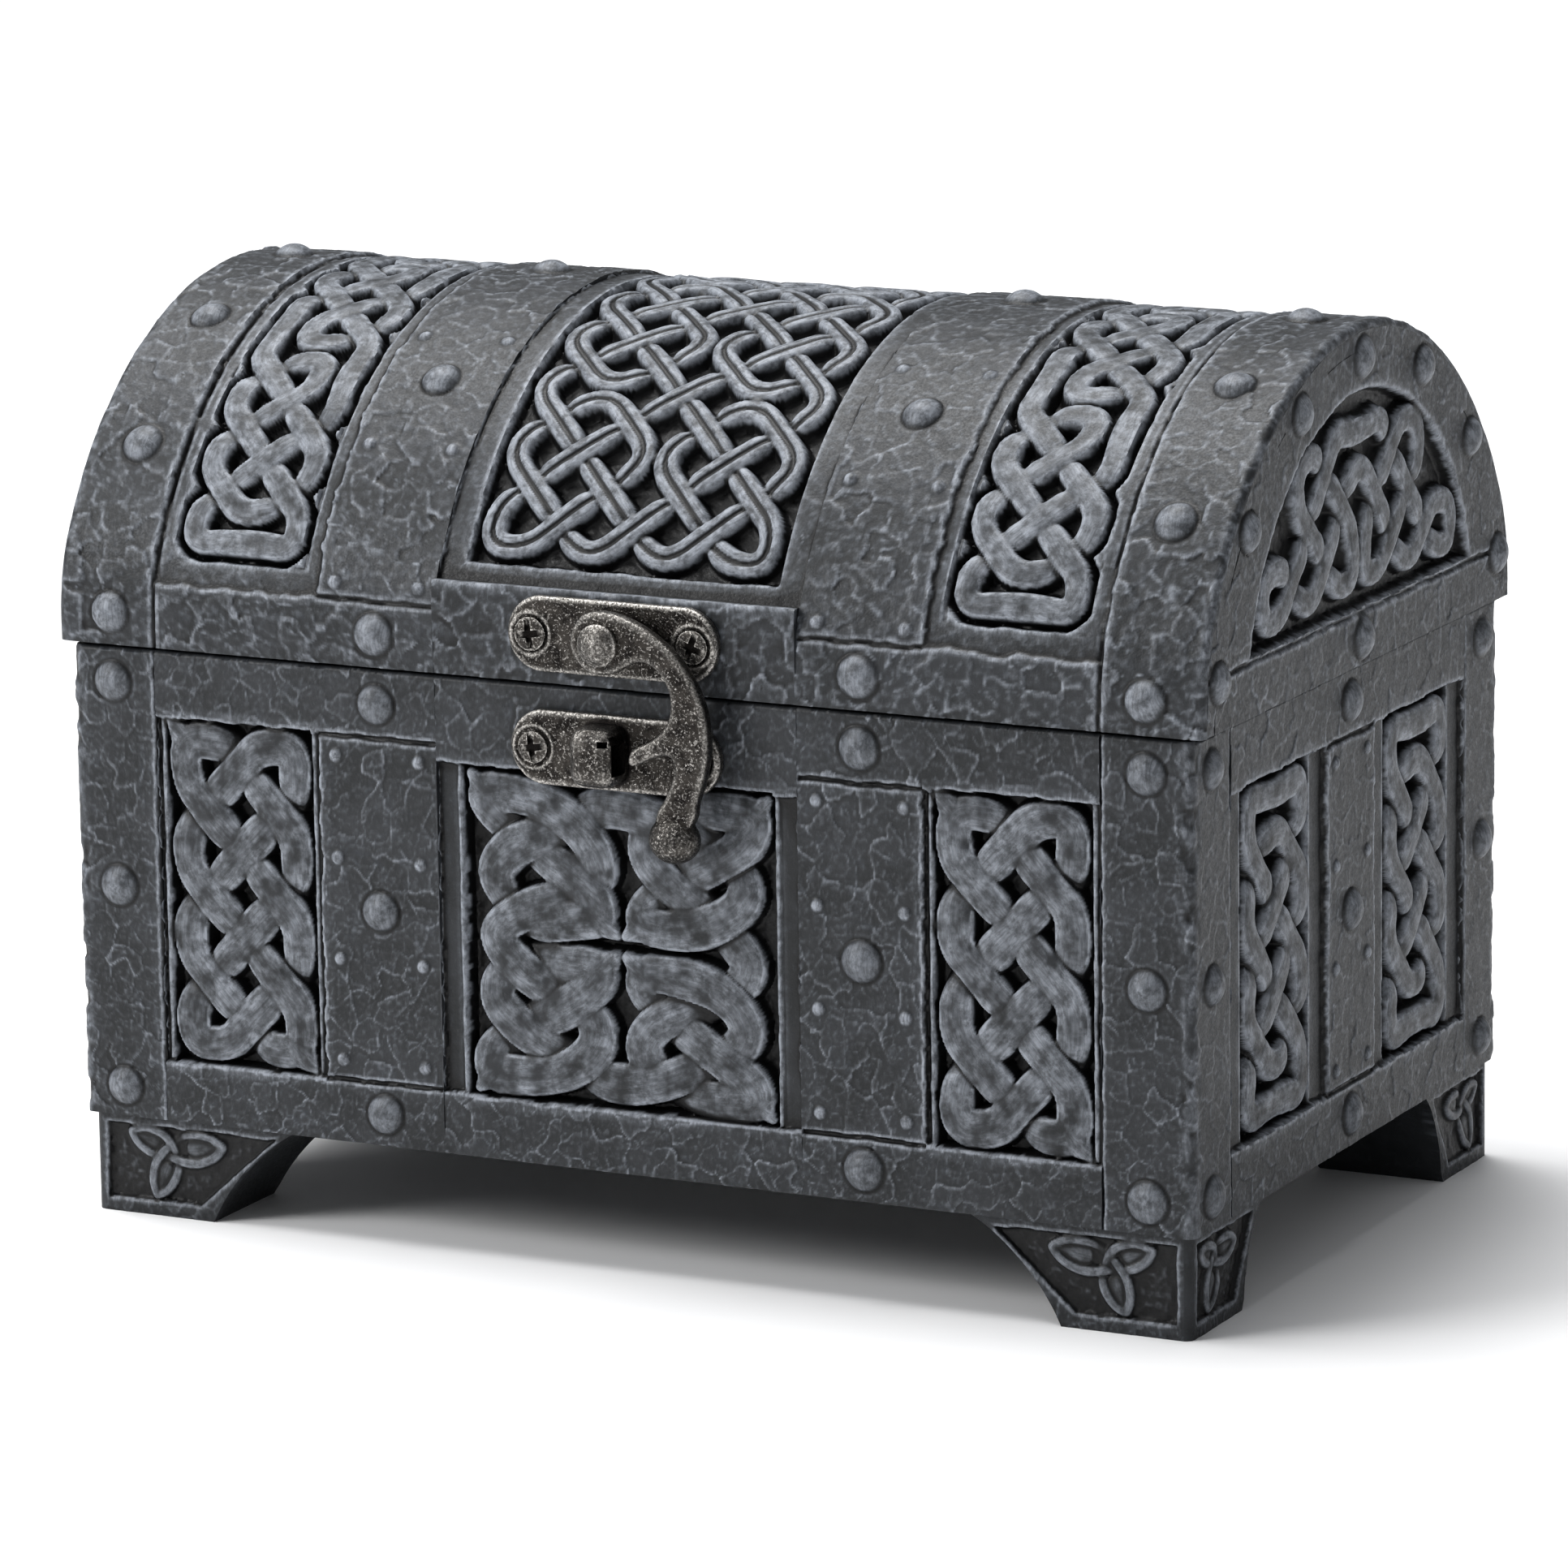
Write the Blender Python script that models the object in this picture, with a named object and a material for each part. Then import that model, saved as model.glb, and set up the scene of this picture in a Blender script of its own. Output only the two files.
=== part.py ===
# Small cast treasure chest with an arched, hinged lid and a swing-hook latch.
#
# The chest stands on the plane Z = 0, its length along X, its front facing -Y.
# Two castings carry everything: the base with its feet, and the hollow lid.
# The lid turns on two butt hinges at the back, the hook turns on the latch rivet.
# All sizes are millimetres times mm, so the model is in metres.

import math

import bmesh
import bpy
from mathutils import Matrix, Vector

mm = 0.001

# Base casting
base_length = 150.0 * mm
base_depth = 94.2 * mm
foot_height = 12.6 * mm
base_height = 59.1 * mm
base_wall = 7.0 * mm
base_floor = 6.4 * mm
cavity_corner_radius = 6.0 * mm
base_corner_round = 1.2 * mm
rim_chamfer = 0.4 * mm

# Feet, and the openings between them
foot_inset = 0.8 * mm
foot_sole_width = 17.5 * mm
foot_sole_depth = 15.6 * mm
foot_flare_x = 11.9 * mm
foot_flare_y = 6.3 * mm
foot_lip = 1.2 * mm
foot_arc_rise = 1.2 * mm
foot_panel_border = 1.9 * mm
foot_panel_depth = 0.7 * mm

# Flat bands cast on the base
rail_low_height = 7.8 * mm
rail_high_height = 8.4 * mm
corner_strap_width = 11.8 * mm
corner_strap_end_width = 11.0 * mm
strap_width = 16.3 * mm
side_panel_width = 22.7 * mm
end_strap_width = 14.7 * mm
seam_groove = 0.5 * mm

# Sunk panels of the base
panel_step = 0.8 * mm
panel_depth = 2.8 * mm
side_panel_border = 1.3 * mm
centre_panel_border = 3.4 * mm
end_panel_gap = 4.4 * mm

# Interlace carved in the sunk panels: flat strands that pass over and under each other
strand_width = 4.0 * mm
strand_gap = 0.3 * mm
strand_top = 0.5 * mm
strand_dip = 1.0 * mm
plait_cell = 10.4 * mm
end_plait_cell = 8.6 * mm

# Lid casting
lid_gap = 0.4 * mm
lid_overhang_x = 1.5 * mm
lid_overhang_y = 0.2 * mm
lid_upright = 2.9 * mm
lid_rise = 38.4 * mm
lid_shoulder_radius = 23.7 * mm
lid_wall = 6.5 * mm
lid_end_wall = 7.0 * mm
lid_edge_round = 1.0 * mm
lid_rail_height = 8.0 * mm
lid_field_depth = 0.5 * mm
lid_panel_depth = 2.4 * mm
lid_strip_border = 2.2 * mm
lid_strip_foot = 3.2 * mm
lid_centre_border = 3.6 * mm
lid_centre_foot = 2.6 * mm
lid_end_band = 8.2 * mm
lid_end_rail_height = 6.5 * mm
lid_end_panel_depth = 2.0 * mm
latch_pad_height = 11.1 * mm

# Broad bands carved in the lid's sunk panels
lid_plait_cell = 17.0 * mm
lid_strand_width = 4.6 * mm
lid_end_knot_rise = 1.8 * mm
lid_end_knot_height = 17.0 * mm

# Domed rivets cast on the bands
rivet_radius = 2.6 * mm
rivet_height = 1.3 * mm
lid_strap_rivet_reach = 30.7 * mm

# Clearances
seat_gap = 0.3 * mm
shank_gap = 0.2 * mm

# Latch: one plate on the lid, one on the base, and the swinging hook
latch_centre_x = 0.8 * mm
plate_length = 28.0 * mm
plate_width = 9.2 * mm
plate_thickness = 1.2 * mm
latch_plate_rise = 6.2 * mm
catch_plate_drop = 7.2 * mm
latch_screw_spread = 10.8 * mm
pivot_boss_radius = 3.0 * mm
pivot_boss_height = 1.0 * mm
hook_thickness = 2.0 * mm
hook_reach = 11.8 * mm
hook_drop = 22.9 * mm
hook_arm_width = 4.2 * mm
hook_eye_radius = 3.9 * mm
latch_rivet_shank_radius = 1.3 * mm
latch_rivet_head_radius = 2.6 * mm
latch_rivet_head_height = 1.3 * mm
hook_knob_radius = 2.9 * mm
lug_width = 7.0 * mm
lug_height = 7.2 * mm
lug_offset = -1.5 * mm
lug_slot_depth = 2.7 * mm
lug_slot_height = 3.8 * mm
lug_roof = 0.9 * mm

# Screws
screw_head_radius = 2.2 * mm
screw_head_height = 0.8 * mm
screw_shank_radius = 0.9 * mm
screw_length = 4.6 * mm
screw_cross_width = 0.6 * mm
screw_cross_length = 2.4 * mm
screw_cross_depth = 0.5 * mm

# Butt hinges at the back
hinge_width = 20.0 * mm
hinge_leaf_height = 7.4 * mm
hinge_leaf_thickness = 1.0 * mm
hinge_leaf_corner = 1.4 * mm
hinge_mortise = 0.6 * mm
hinge_knuckle_radius = 1.6 * mm
hinge_pin_radius = 0.8 * mm
hinge_pin_end = 0.25 * mm
hinge_knuckles = 5
hinge_screw_spread = 6.2 * mm
hinge_screw_head_radius = 1.5 * mm
hinge_screw_head_height = 0.5 * mm
hinge_screw_shank_radius = 0.7 * mm
hinge_screw_length = 4.0 * mm

# Places worked out from the sizes above
half_x = base_length / 2
half_y = base_depth / 2
base_top = foot_height + base_height
cavity_floor = foot_height + base_floor
panel_low = foot_height + rail_low_height
panel_high = base_top - rail_high_height
corner_inner_x = half_x - corner_strap_width
corner_inner_y = half_y - corner_strap_end_width
strap_outer = corner_inner_x - side_panel_width
strap_inner = strap_outer - strap_width
strap_centre = (strap_outer + strap_inner) / 2
end_panel_near = end_strap_width / 2 + end_panel_gap
end_panel_far = corner_inner_y - end_panel_gap

lid_bottom = base_top + lid_gap
lid_half_x = half_x + lid_overhang_x
lid_half_y = half_y + lid_overhang_y
lid_spring = lid_bottom + lid_upright
lid_top = lid_spring + lid_rise
lid_rail_top = lid_bottom + lid_rail_height

shoulder_y = lid_half_y - lid_shoulder_radius
crown_radius = (shoulder_y ** 2 + lid_rise ** 2 - lid_shoulder_radius ** 2) / (
    2 * (lid_rise - lid_shoulder_radius)
)
crown_z = lid_top - crown_radius
shoulder_turn = math.atan2(lid_spring - crown_z, shoulder_y)
crown_reach = crown_radius * (math.pi / 2 - shoulder_turn)

seam_z = (base_top + lid_bottom) / 2
hinge_centre_x = (corner_inner_x + strap_outer) / 2
hinge_seat_y = half_y - hinge_mortise
hinge_leaf_y = hinge_seat_y + seat_gap
hinge_axis_y = hinge_leaf_y + hinge_knuckle_radius
hinge_axis = Vector((0, hinge_axis_y, seam_z))

latch_plate_z = lid_bottom + latch_plate_rise
catch_plate_z = base_top - catch_plate_drop
latch_plate_y = -(lid_half_y + seat_gap)
latch_plate_face = latch_plate_y - plate_thickness
catch_plate_y = -(half_y + seat_gap)
catch_plate_face = catch_plate_y - plate_thickness
hook_back = latch_plate_face - pivot_boss_height - seat_gap
hook_front = hook_back - hook_thickness
hook_middle = (hook_back + hook_front) / 2
hook_pivot = Vector((latch_centre_x, hook_middle, latch_plate_z))
rivet_head_y = hook_front - seat_gap
front_reach = max(latch_rivet_head_height - rivet_head_y, hook_knob_radius - hook_middle)
back_reach = hinge_axis_y + hinge_knuckle_radius
centring_shift = (front_reach - back_reach) / 2

overlap = 1.0 * mm
carving_root = 0.5 * mm
through = 20.0 * mm
arch_step = math.radians(8.0)

# Materials: colour, roughness and metallic value of each finish
finishes = {
    "grey_cast_resin": ((0.075, 0.083, 0.095), 0.62, 0.0),
    "antique_pewter": ((0.30, 0.28, 0.25), 0.42, 1.0),
    "steel_screw": ((0.33, 0.31, 0.28), 0.38, 1.0),
}


def make_materials():
    made = {}
    for name, (colour, roughness, metallic) in finishes.items():
        material = bpy.data.materials.new(name)
        material.use_nodes = True
        shader = material.node_tree.nodes["Principled BSDF"]
        shader.inputs["Base Color"].default_value = (*colour, 1.0)
        shader.inputs["Roughness"].default_value = roughness
        shader.inputs["Metallic"].default_value = metallic
        made[name] = material
    return made


# Solids: each function gives a closed bmesh

def prism(outline, axis, low, high):
    """Straight prism over a closed outline, from low to high along the axis."""
    places = {
        "x": lambda a, b: Vector((low, a, b)),
        "y": lambda a, b: Vector((a, low, b)),
        "z": lambda a, b: Vector((a, b, low)),
    }
    steps = {"x": Vector((1, 0, 0)), "y": Vector((0, 1, 0)), "z": Vector((0, 0, 1))}
    solid = bmesh.new()
    face = solid.faces.new([solid.verts.new(places[axis](a, b)) for a, b in outline])
    grown = bmesh.ops.extrude_face_region(solid, geom=[face])
    moved = [item for item in grown["geom"] if isinstance(item, bmesh.types.BMVert)]
    bmesh.ops.translate(solid, verts=moved, vec=steps[axis] * (high - low))
    bmesh.ops.recalc_face_normals(solid, faces=solid.faces)
    return solid


def rectangle(a_low, a_high, b_low, b_high):
    return [(a_low, b_low), (a_high, b_low), (a_high, b_high), (a_low, b_high)]


def block(x, y, z):
    """Box between the two limits given for each direction."""
    return prism(rectangle(*x, *y), "z", *z)


def rounded_rectangle(half_a, half_b, radius, steps):
    """Outline centred on zero, with round corners."""
    points = []
    for quarter in range(4):
        sign_a = 1 if quarter in (0, 3) else -1
        sign_b = 1 if quarter in (0, 1) else -1
        for step in range(steps + 1):
            turn = (quarter + step / steps) * math.pi / 2
            points.append((
                sign_a * (half_a - radius) + radius * math.cos(turn),
                sign_b * (half_b - radius) + radius * math.sin(turn),
            ))
    return points


def shifted(outline, a, b):
    return [(p + a, q + b) for p, q in outline]


def turned(profile, segments):
    """Solid of revolution about Z from (radius, height) points that start and end on Z."""
    solid = bmesh.new()
    verts = [solid.verts.new((radius, 0, height)) for radius, height in profile]
    edges = [solid.edges.new(pair) for pair in zip(verts, verts[1:])]
    bmesh.ops.spin(
        solid, geom=verts + edges, cent=(0, 0, 0), axis=(0, 0, 1),
        angle=math.tau, steps=segments,
    )
    bmesh.ops.remove_doubles(solid, verts=solid.verts, dist=0.001 * mm)
    bmesh.ops.recalc_face_normals(solid, faces=solid.faces)
    return solid


def cylinder(radius, low, high, segments):
    return turned([(0, low), (radius, low), (radius, high), (0, high)], segments)


def aimed(solid, place, direction):
    """Turn a solid made along Z so that its Z points in the direction, and put it in place."""
    turn = Vector((0, 0, 1)).rotation_difference(Vector(direction)).to_matrix().to_4x4()
    bmesh.ops.transform(solid, matrix=Matrix.Translation(place) @ turn, verts=solid.verts)
    return solid


def dome(radius, height, segments, rings):
    """Spherical cap that stands on a short sunk shank."""
    ball = (radius ** 2 + height ** 2) / (2 * height)
    edge_turn = math.asin(radius / ball)
    profile = [(0, -overlap / 2), (radius, -overlap / 2)]
    for ring in range(rings + 1):
        turn = edge_turn * (1 - ring / rings)
        profile.append((ball * math.sin(turn), height - ball * (1 - math.cos(turn))))
    return turned(profile, segments)


def gathered(solids):
    """All solids in one bmesh, still separate bodies."""
    whole = bmesh.new()
    for solid in solids:
        mesh = bpy.data.meshes.new("part")
        solid.to_mesh(mesh)
        solid.free()
        whole.from_mesh(mesh)
        bpy.data.meshes.remove(mesh)
    return whole


def bevelled(solid, chosen, width, segments):
    """Round the edges for which chosen(edge) is true."""
    edges = [edge for edge in solid.edges if chosen(edge)]
    bmesh.ops.bevel(
        solid, geom=edges, offset=width, segments=segments, affect="EDGES", profile=0.5
    )
    return solid


# Objects

def make_object(name, solid, material, smooth_angle=30):
    mesh = bpy.data.meshes.new(name)
    solid.to_mesh(mesh)
    solid.free()
    made = bpy.data.objects.new(name, mesh)
    bpy.context.scene.collection.objects.link(made)
    mesh.materials.append(material)
    mesh.shade_smooth()
    mesh.set_sharp_from_angle(angle=math.radians(smooth_angle))
    return made


def combine(target, solid, operation):
    """Boolean the solid into the target object and keep the result as its mesh."""
    tool = make_object("tool", solid, target.data.materials[0])
    change = target.modifiers.new("combine", "BOOLEAN")
    change.operation = operation
    change.object = tool
    change.use_self = operation == "UNION"
    graph = bpy.context.evaluated_depsgraph_get()
    result = bpy.data.meshes.new_from_object(target.evaluated_get(graph))
    target.modifiers.clear()
    target.data = result
    bpy.data.objects.remove(tool)


def cut(target, *solids):
    combine(target, gathered(solids), "DIFFERENCE")


def fuse(target, *solids):
    combine(target, gathered(solids), "UNION")


def hang_on(child, parent, parent_place):
    """Parent an object whose mesh is in chest coordinates to an empty on its axis."""
    child.parent = parent
    child.location = -Vector(parent_place)


# The lid's outline: a three-centred arch, read by the direction that its surface faces

def arch_point(turn, inset=0.0):
    """Point where the arch faces the angle turn: 0 is front, a quarter turn is up."""
    if turn < shoulder_turn:
        centre, radius = (-shoulder_y, lid_spring), lid_shoulder_radius
    elif turn > math.pi - shoulder_turn:
        centre, radius = (shoulder_y, lid_spring), lid_shoulder_radius
    else:
        centre, radius = (0.0, crown_z), crown_radius
    reach = radius - inset
    return centre[0] - reach * math.cos(turn), centre[1] + reach * math.sin(turn)


def arch_turn_at(height, inset=0.0):
    """Direction that the front half of the arch faces at a height."""
    on_shoulder = (height - lid_spring) / (lid_shoulder_radius - inset)
    if on_shoulder <= math.sin(shoulder_turn):
        return math.asin(max(on_shoulder, 0.0))
    return math.asin((height - crown_z) / (crown_radius - inset))


def arch_turn_along(reach):
    """Direction faced at a distance along the surface from the crown, positive to the back."""
    distance = abs(reach)
    if distance <= crown_reach:
        lean = distance / crown_radius
    else:
        lean = math.pi / 2 - shoulder_turn + (distance - crown_reach) / lid_shoulder_radius
    return math.pi / 2 + math.copysign(lean, reach)


def arch_reach_of(height):
    """Distance along the surface from the crown down to a height."""
    turn = arch_turn_at(height)
    if turn < shoulder_turn:
        return crown_reach + lid_shoulder_radius * (shoulder_turn - turn)
    return crown_radius * (math.pi / 2 - turn)


def arch_line(inset, start):
    """Points of the arch from the front direction start over to the same one at the back."""
    bends = [start]
    if start < shoulder_turn:
        bends.append(shoulder_turn)
    bends += [math.pi - turn for turn in reversed(bends)]
    turns = []
    for low, high in zip(bends, bends[1:]):
        steps = max(2, math.ceil((high - low) / arch_step))
        turns += [low + (high - low) * step / steps for step in range(steps)]
    return [arch_point(turn, inset) for turn in turns + [bends[-1]]]


def arch_outline(inset, floor):
    """Closed outline under the arch, cut off flat at the floor height."""
    line = arch_line(inset, arch_turn_at(floor, inset))
    if floor < lid_spring:
        side = lid_half_y - inset
        return [(-side, floor)] + line + [(side, floor)]
    return line


def arch_band(outer, inner, floor):
    """Closed outline between two insets of the arch, above a height."""
    over = arch_line(outer, arch_turn_at(floor))
    under = arch_line(inner, arch_turn_at(floor))
    return over + under[::-1]


# Carved interlace, drawn on a grid of cells: a strand runs along the cells' diagonals,
# crosses others at the middles of the cells' sides and turns back at borders and breaks

def perpendicular(way):
    return Vector((-way.y, way.x))


def next_stops(point, way, columns, rows, breaks):
    """Grid points from a crossing to the next one, each with how the strand turns there."""
    stops = []
    while not stops or stops[-1][2]:
        point = (point[0] + way[0], point[1] + way[1])
        turn = breaks.get(point)
        if point[0] in (0, 2 * columns):
            turn = "upright"
        elif point[1] in (0, 2 * rows):
            turn = "level"
        stops.append((point, way, turn))
        way = (-way[0], way[1]) if turn == "upright" else (way[0], -way[1])
    return stops


def strand_points(stops, cell, room):
    """Centre line between two crossings: off the diagonal it keeps clear of what turns it."""
    pairs = []
    for (x, y), (dx, dy), turn in stops[:-1]:
        if turn == "upright":
            lean = room * cell.y / cell.x
            before = Vector((x * cell.x - dx * room, y * cell.y - dy * lean))
            after = Vector((before.x, y * cell.y + dy * lean))
        else:
            lean = room * cell.x / cell.y
            before = Vector((x * cell.x - dx * lean, y * cell.y - dy * room))
            after = Vector((x * cell.x + dx * lean, before.y))
        pairs.append((before, after, turn))
    points = [pairs[0][0]] if pairs else []
    for (_, left, turn), (entered, _, next_turn) in zip(pairs, pairs[1:]):
        if turn == next_turn:
            points.append((left + entered) / 2)
        elif turn == "upright":
            points.append(Vector((left.x, entered.y)))
        else:
            points.append(Vector((entered.x, left.y)))
    return points + ([pairs[-1][1]] if pairs else [])


def dived_section(crossing, neighbour, half_width):
    """End of a ribbon where it dives: cut parallel to the strand above, a gap away from it."""
    way = (crossing - neighbour).normalized()
    across = perpendicular(way)
    away = perpendicular(Vector((way.x, -way.y)))
    if way.dot(away) < 0:
        away.negate()
    pair = []
    for side in (1, -1):
        back = half_width + strand_gap + side * half_width * across.dot(away)
        pair.append(crossing + across * side * half_width - way * back / way.dot(away))
    return pair


def ribbon_sections(line, half_width):
    """Left and right points of a ribbon at each point of its centre line."""
    first = dived_section(line[0], line[1], half_width)
    sections = [(first[1], first[0], strand_dip)]
    for before, point, after in zip(line, line[1:], line[2:]):
        near = perpendicular((point - before).normalized())
        far = perpendicular((after - point).normalized())
        mitre = (near + far).normalized()
        offset = mitre * half_width / mitre.dot(near)
        sections.append((point + offset, point - offset, 0))
    last = dived_section(line[-1], line[-2], half_width)
    return sections + [(last[0], last[1], strand_dip)]


def ribbon(sections, on_face, top, floor):
    """Flat strip on a face, given by (left, right, dip) sections, rooted below the floor."""
    solid = bmesh.new()
    rings = []
    for left, right, dip in sections:
        corners = ((left, top + dip), (right, top + dip), (right, floor), (left, floor))
        rings.append([solid.verts.new(on_face(point.x, point.y, depth)) for point, depth in corners])
    for near, far in zip(rings, rings[1:]):
        for side in range(4):
            after = (side + 1) % 4
            solid.faces.new((near[side], near[after], far[after], far[side]))
    solid.faces.new(rings[0])
    solid.faces.new(rings[-1])
    bmesh.ops.triangulate(solid, faces=solid.faces)
    bmesh.ops.recalc_face_normals(solid, faces=solid.faces)
    return solid


def interlace(width, height, columns, rows, breaks, slash_over, strand, on_face, top, floor):
    """Ribbons of a plait centred on a face, one for each crossing, which it passes over."""
    cell = Vector((width / columns / 2, height / rows / 2))
    room = strand / 2 + strand_gap
    ribbons = []
    for x in range(1, 2 * columns):
        for y in range(1, 2 * rows):
            if (x + y) % 2 == 0 or (x, y) in breaks:
                continue
            way = (1, 1 if (x % 2 == 0) == slash_over else -1)
            ahead = next_stops((x, y), way, columns, rows, breaks)
            behind = next_stops((x, y), (-way[0], -way[1]), columns, rows, breaks)
            line = [Vector((behind[-1][0][0] * cell.x, behind[-1][0][1] * cell.y))]
            line += strand_points(behind, cell, room)[::-1]
            line.append(Vector((x * cell.x, y * cell.y)))
            line += strand_points(ahead, cell, room)
            line.append(Vector((ahead[-1][0][0] * cell.x, ahead[-1][0][1] * cell.y)))
            line = [point - Vector((width, height)) / 2 for point in line]
            ribbons.append(ribbon(ribbon_sections(line, strand / 2), on_face, top, floor))
    return ribbons


def centre_breaks(columns, rows):
    """Four breaks in the middle, which open a round eye."""
    middle = 2 * (columns // 2)
    centre = 2 * (rows // 2)
    breaks = {(middle, centre + step): "upright" for step in (-1, 1)}
    breaks.update({(middle + step, centre): "level" for step in (-1, 1)})
    return breaks


def end_breaks(columns, rows):
    """A break in the first and last row, which leaves a bar along each end."""
    middle = 2 * (columns // 2)
    return {(middle, 1): "level", (middle, 2 * rows - 1): "level"}


# Base casting

def foot_opening(half_span_top, flare):
    """Outline of the opening between two feet: a short lip, then a hollow arc up to the base."""
    low = Vector((half_span_top + flare - foot_lip / 2, foot_lip))
    high = Vector((half_span_top, foot_height))
    bow = (low - high).orthogonal().normalized() * foot_arc_rise
    if bow.y < 0:
        bow.negate()
    side = [(half_span_top + flare, -overlap)]
    for step in range(7):
        share = step / 6
        point = low.lerp(high, share) + bow * (4 * share * (1 - share))
        side.append((point.x, point.y))
    side.append((half_span_top, foot_height + 2 * overlap))
    return side + [(-a, b) for a, b in reversed(side)]


def foot_panel(half_length, half_span_top, flare):
    """Sunk three-sided field on the outer face of the right-hand foot."""
    border = foot_panel_border
    outer = half_length - foot_inset - border
    return [
        (half_span_top + flare + border, border),
        (outer, border),
        (outer, foot_height - border * 0.7),
        (half_span_top + border * 1.6, foot_height - border * 0.7),
    ]


def base_feet():
    """One block under the base, opened from front to back and from side to side."""
    x = half_x - foot_inset
    y = half_y - foot_inset
    span_x = x - foot_sole_width - foot_flare_x + foot_inset
    span_y = y - foot_sole_depth - foot_flare_y + foot_inset
    feet = block((-x, x), (-y, y), (0, foot_height + overlap))
    bevelled(feet, lambda edge: is_upright(edge), base_corner_round, 2)
    made = make_object("feet", feet, bpy.data.materials["grey_cast_resin"])
    cut(made, prism(foot_opening(span_x, foot_flare_x), "y", -half_y - through, half_y + through))
    cut(made, prism(foot_opening(span_y, foot_flare_y), "x", -half_x - through, half_x + through))
    fields = []
    for side in (-1, 1):
        for end in (-1, 1):
            front = [(side * a, b) for a, b in foot_panel(half_x, span_x, foot_flare_x)]
            fields.append(prism(front, "y", *sunk(end, y, foot_panel_depth)))
            flank = [(side * a, b) for a, b in foot_panel(half_y, span_y, foot_flare_y)]
            fields.append(prism(flank, "x", *sunk(end, x, foot_panel_depth)))
    cut(made, *fields)
    solid = bmesh.new()
    solid.from_mesh(made.data)
    bpy.data.objects.remove(made)
    return solid


def is_upright(edge):
    low, high = (vert.co for vert in edge.verts)
    return abs(low.z - high.z) > abs(low.x - high.x) + abs(low.y - high.y)


def sunk(side, face, depth):
    """Limits of a cutter that goes a depth into the face on the given side."""
    return tuple(sorted((side * (face - depth), side * (face + overlap))))


def base_panels():
    """Cutters for the sunk panels, each with its shallow step at the straps."""
    height = (panel_low, panel_high)
    shallow, deep = [], []
    for face in (-1, 1):
        step = sunk(face, half_y, panel_step)
        floor = sunk(face, half_y, panel_depth)
        for side in (-1, 1):
            field = sorted((side * strap_outer, side * corner_inner_x))
            shallow.append(block(field, step, height))
            inner = (field[0] + side_panel_border, field[1] - side_panel_border)
            deep.append(block(inner, floor, height))
        middle = strap_inner - centre_panel_border
        shallow.append(block((-strap_inner, strap_inner), step, height))
        deep.append(block((-middle, middle), floor, height))
        step = sunk(face, half_x, panel_step)
        floor = sunk(face, half_x, panel_depth)
        for side in (-1, 1):
            field = sorted((side * end_strap_width / 2, side * corner_inner_y))
            shallow.append(block(step, field, height))
            inner = sorted((side * end_panel_near, side * end_panel_far))
            deep.append(block(floor, inner, height))
    return shallow, deep


def base_carving():
    """Interlace in the sunk panels: front and back, then both ends."""
    height = panel_high - panel_low
    level = (panel_high + panel_low) / 2
    rows = round(height / plait_cell)
    end_rows = round(height / end_plait_cell)
    floor = panel_depth + carving_root
    side_width = side_panel_width - 2 * side_panel_border
    centre_width = 2 * (strap_inner - centre_panel_border)
    end_width = end_panel_far - end_panel_near
    ribbons = []
    for face in (-1, 1):
        for middle, width in ((-hinge_centre_x, side_width), (0, centre_width),
                              (hinge_centre_x, side_width)):
            columns = round(width / plait_cell)
            breaks = {} if middle else centre_breaks(columns, rows)
            on_face = lambda a, b, depth: Vector(
                (middle - face * a, face * (half_y - depth), level + b))
            ribbons += interlace(width, height, columns, rows, breaks, bool(middle),
                                 strand_width, on_face, strand_top, floor)
        for side in (-1, 1):
            middle = side * (end_panel_near + end_panel_far) / 2
            columns = round(end_width / plait_cell)
            on_face = lambda a, b, depth: Vector(
                (face * (half_x - depth), middle + face * a, level + b))
            ribbons += interlace(end_width, height, columns, end_rows,
                                 end_breaks(columns, end_rows), True,
                                 strand_width, on_face, strand_top, floor)
    return ribbons


def base_grooves():
    """Narrow grooves where straps and rails meet."""
    width = seam_groove / 2
    grooves = []
    for face in (-1, 1):
        cut_y = sunk(face, half_y, seam_groove)
        cut_x = sunk(face, half_x, seam_groove)
        for level in (panel_low, panel_high):
            row = (level - width, level + width)
            for side in (-1, 1):
                ends = sorted((side * strap_inner, side * strap_outer))
                grooves.append(block(ends, cut_y, row))
            grooves.append(block(cut_x, (-end_strap_width / 2, end_strap_width / 2), row))
        for low, high in ((foot_height - overlap, panel_low), (panel_high, base_top + overlap)):
            for side in (-1, 1):
                post = sorted((side * (corner_inner_x - width), side * (corner_inner_x + width)))
                grooves.append(block(post, cut_y, (low, high)))
                post = sorted((side * (corner_inner_y - width), side * (corner_inner_y + width)))
                grooves.append(block(cut_x, post, (low, high)))
    return grooves


def base_rivets():
    """Large rivets on every rail crossing."""
    levels = (
        foot_height + rail_low_height / 2,
        (panel_low + panel_high) / 2,
        base_top - rail_high_height / 2,
    )
    corner_x = half_x - corner_strap_width / 2
    corner_y = half_y - corner_strap_end_width / 2
    solids = []
    for face in (-1, 1):
        for level in levels:
            for x in (-corner_x, -strap_centre, strap_centre, corner_x):
                solids.append(rivet((x, face * half_y, level), (0, face, 0)))
            for y in (-corner_y, 0, corner_y):
                solids.append(rivet((face * half_x, y, level), (face, 0, 0)))
    return solids


def rivet(place, direction):
    return aimed(dome(rivet_radius, rivet_height, 8, 2), place, direction)


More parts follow.
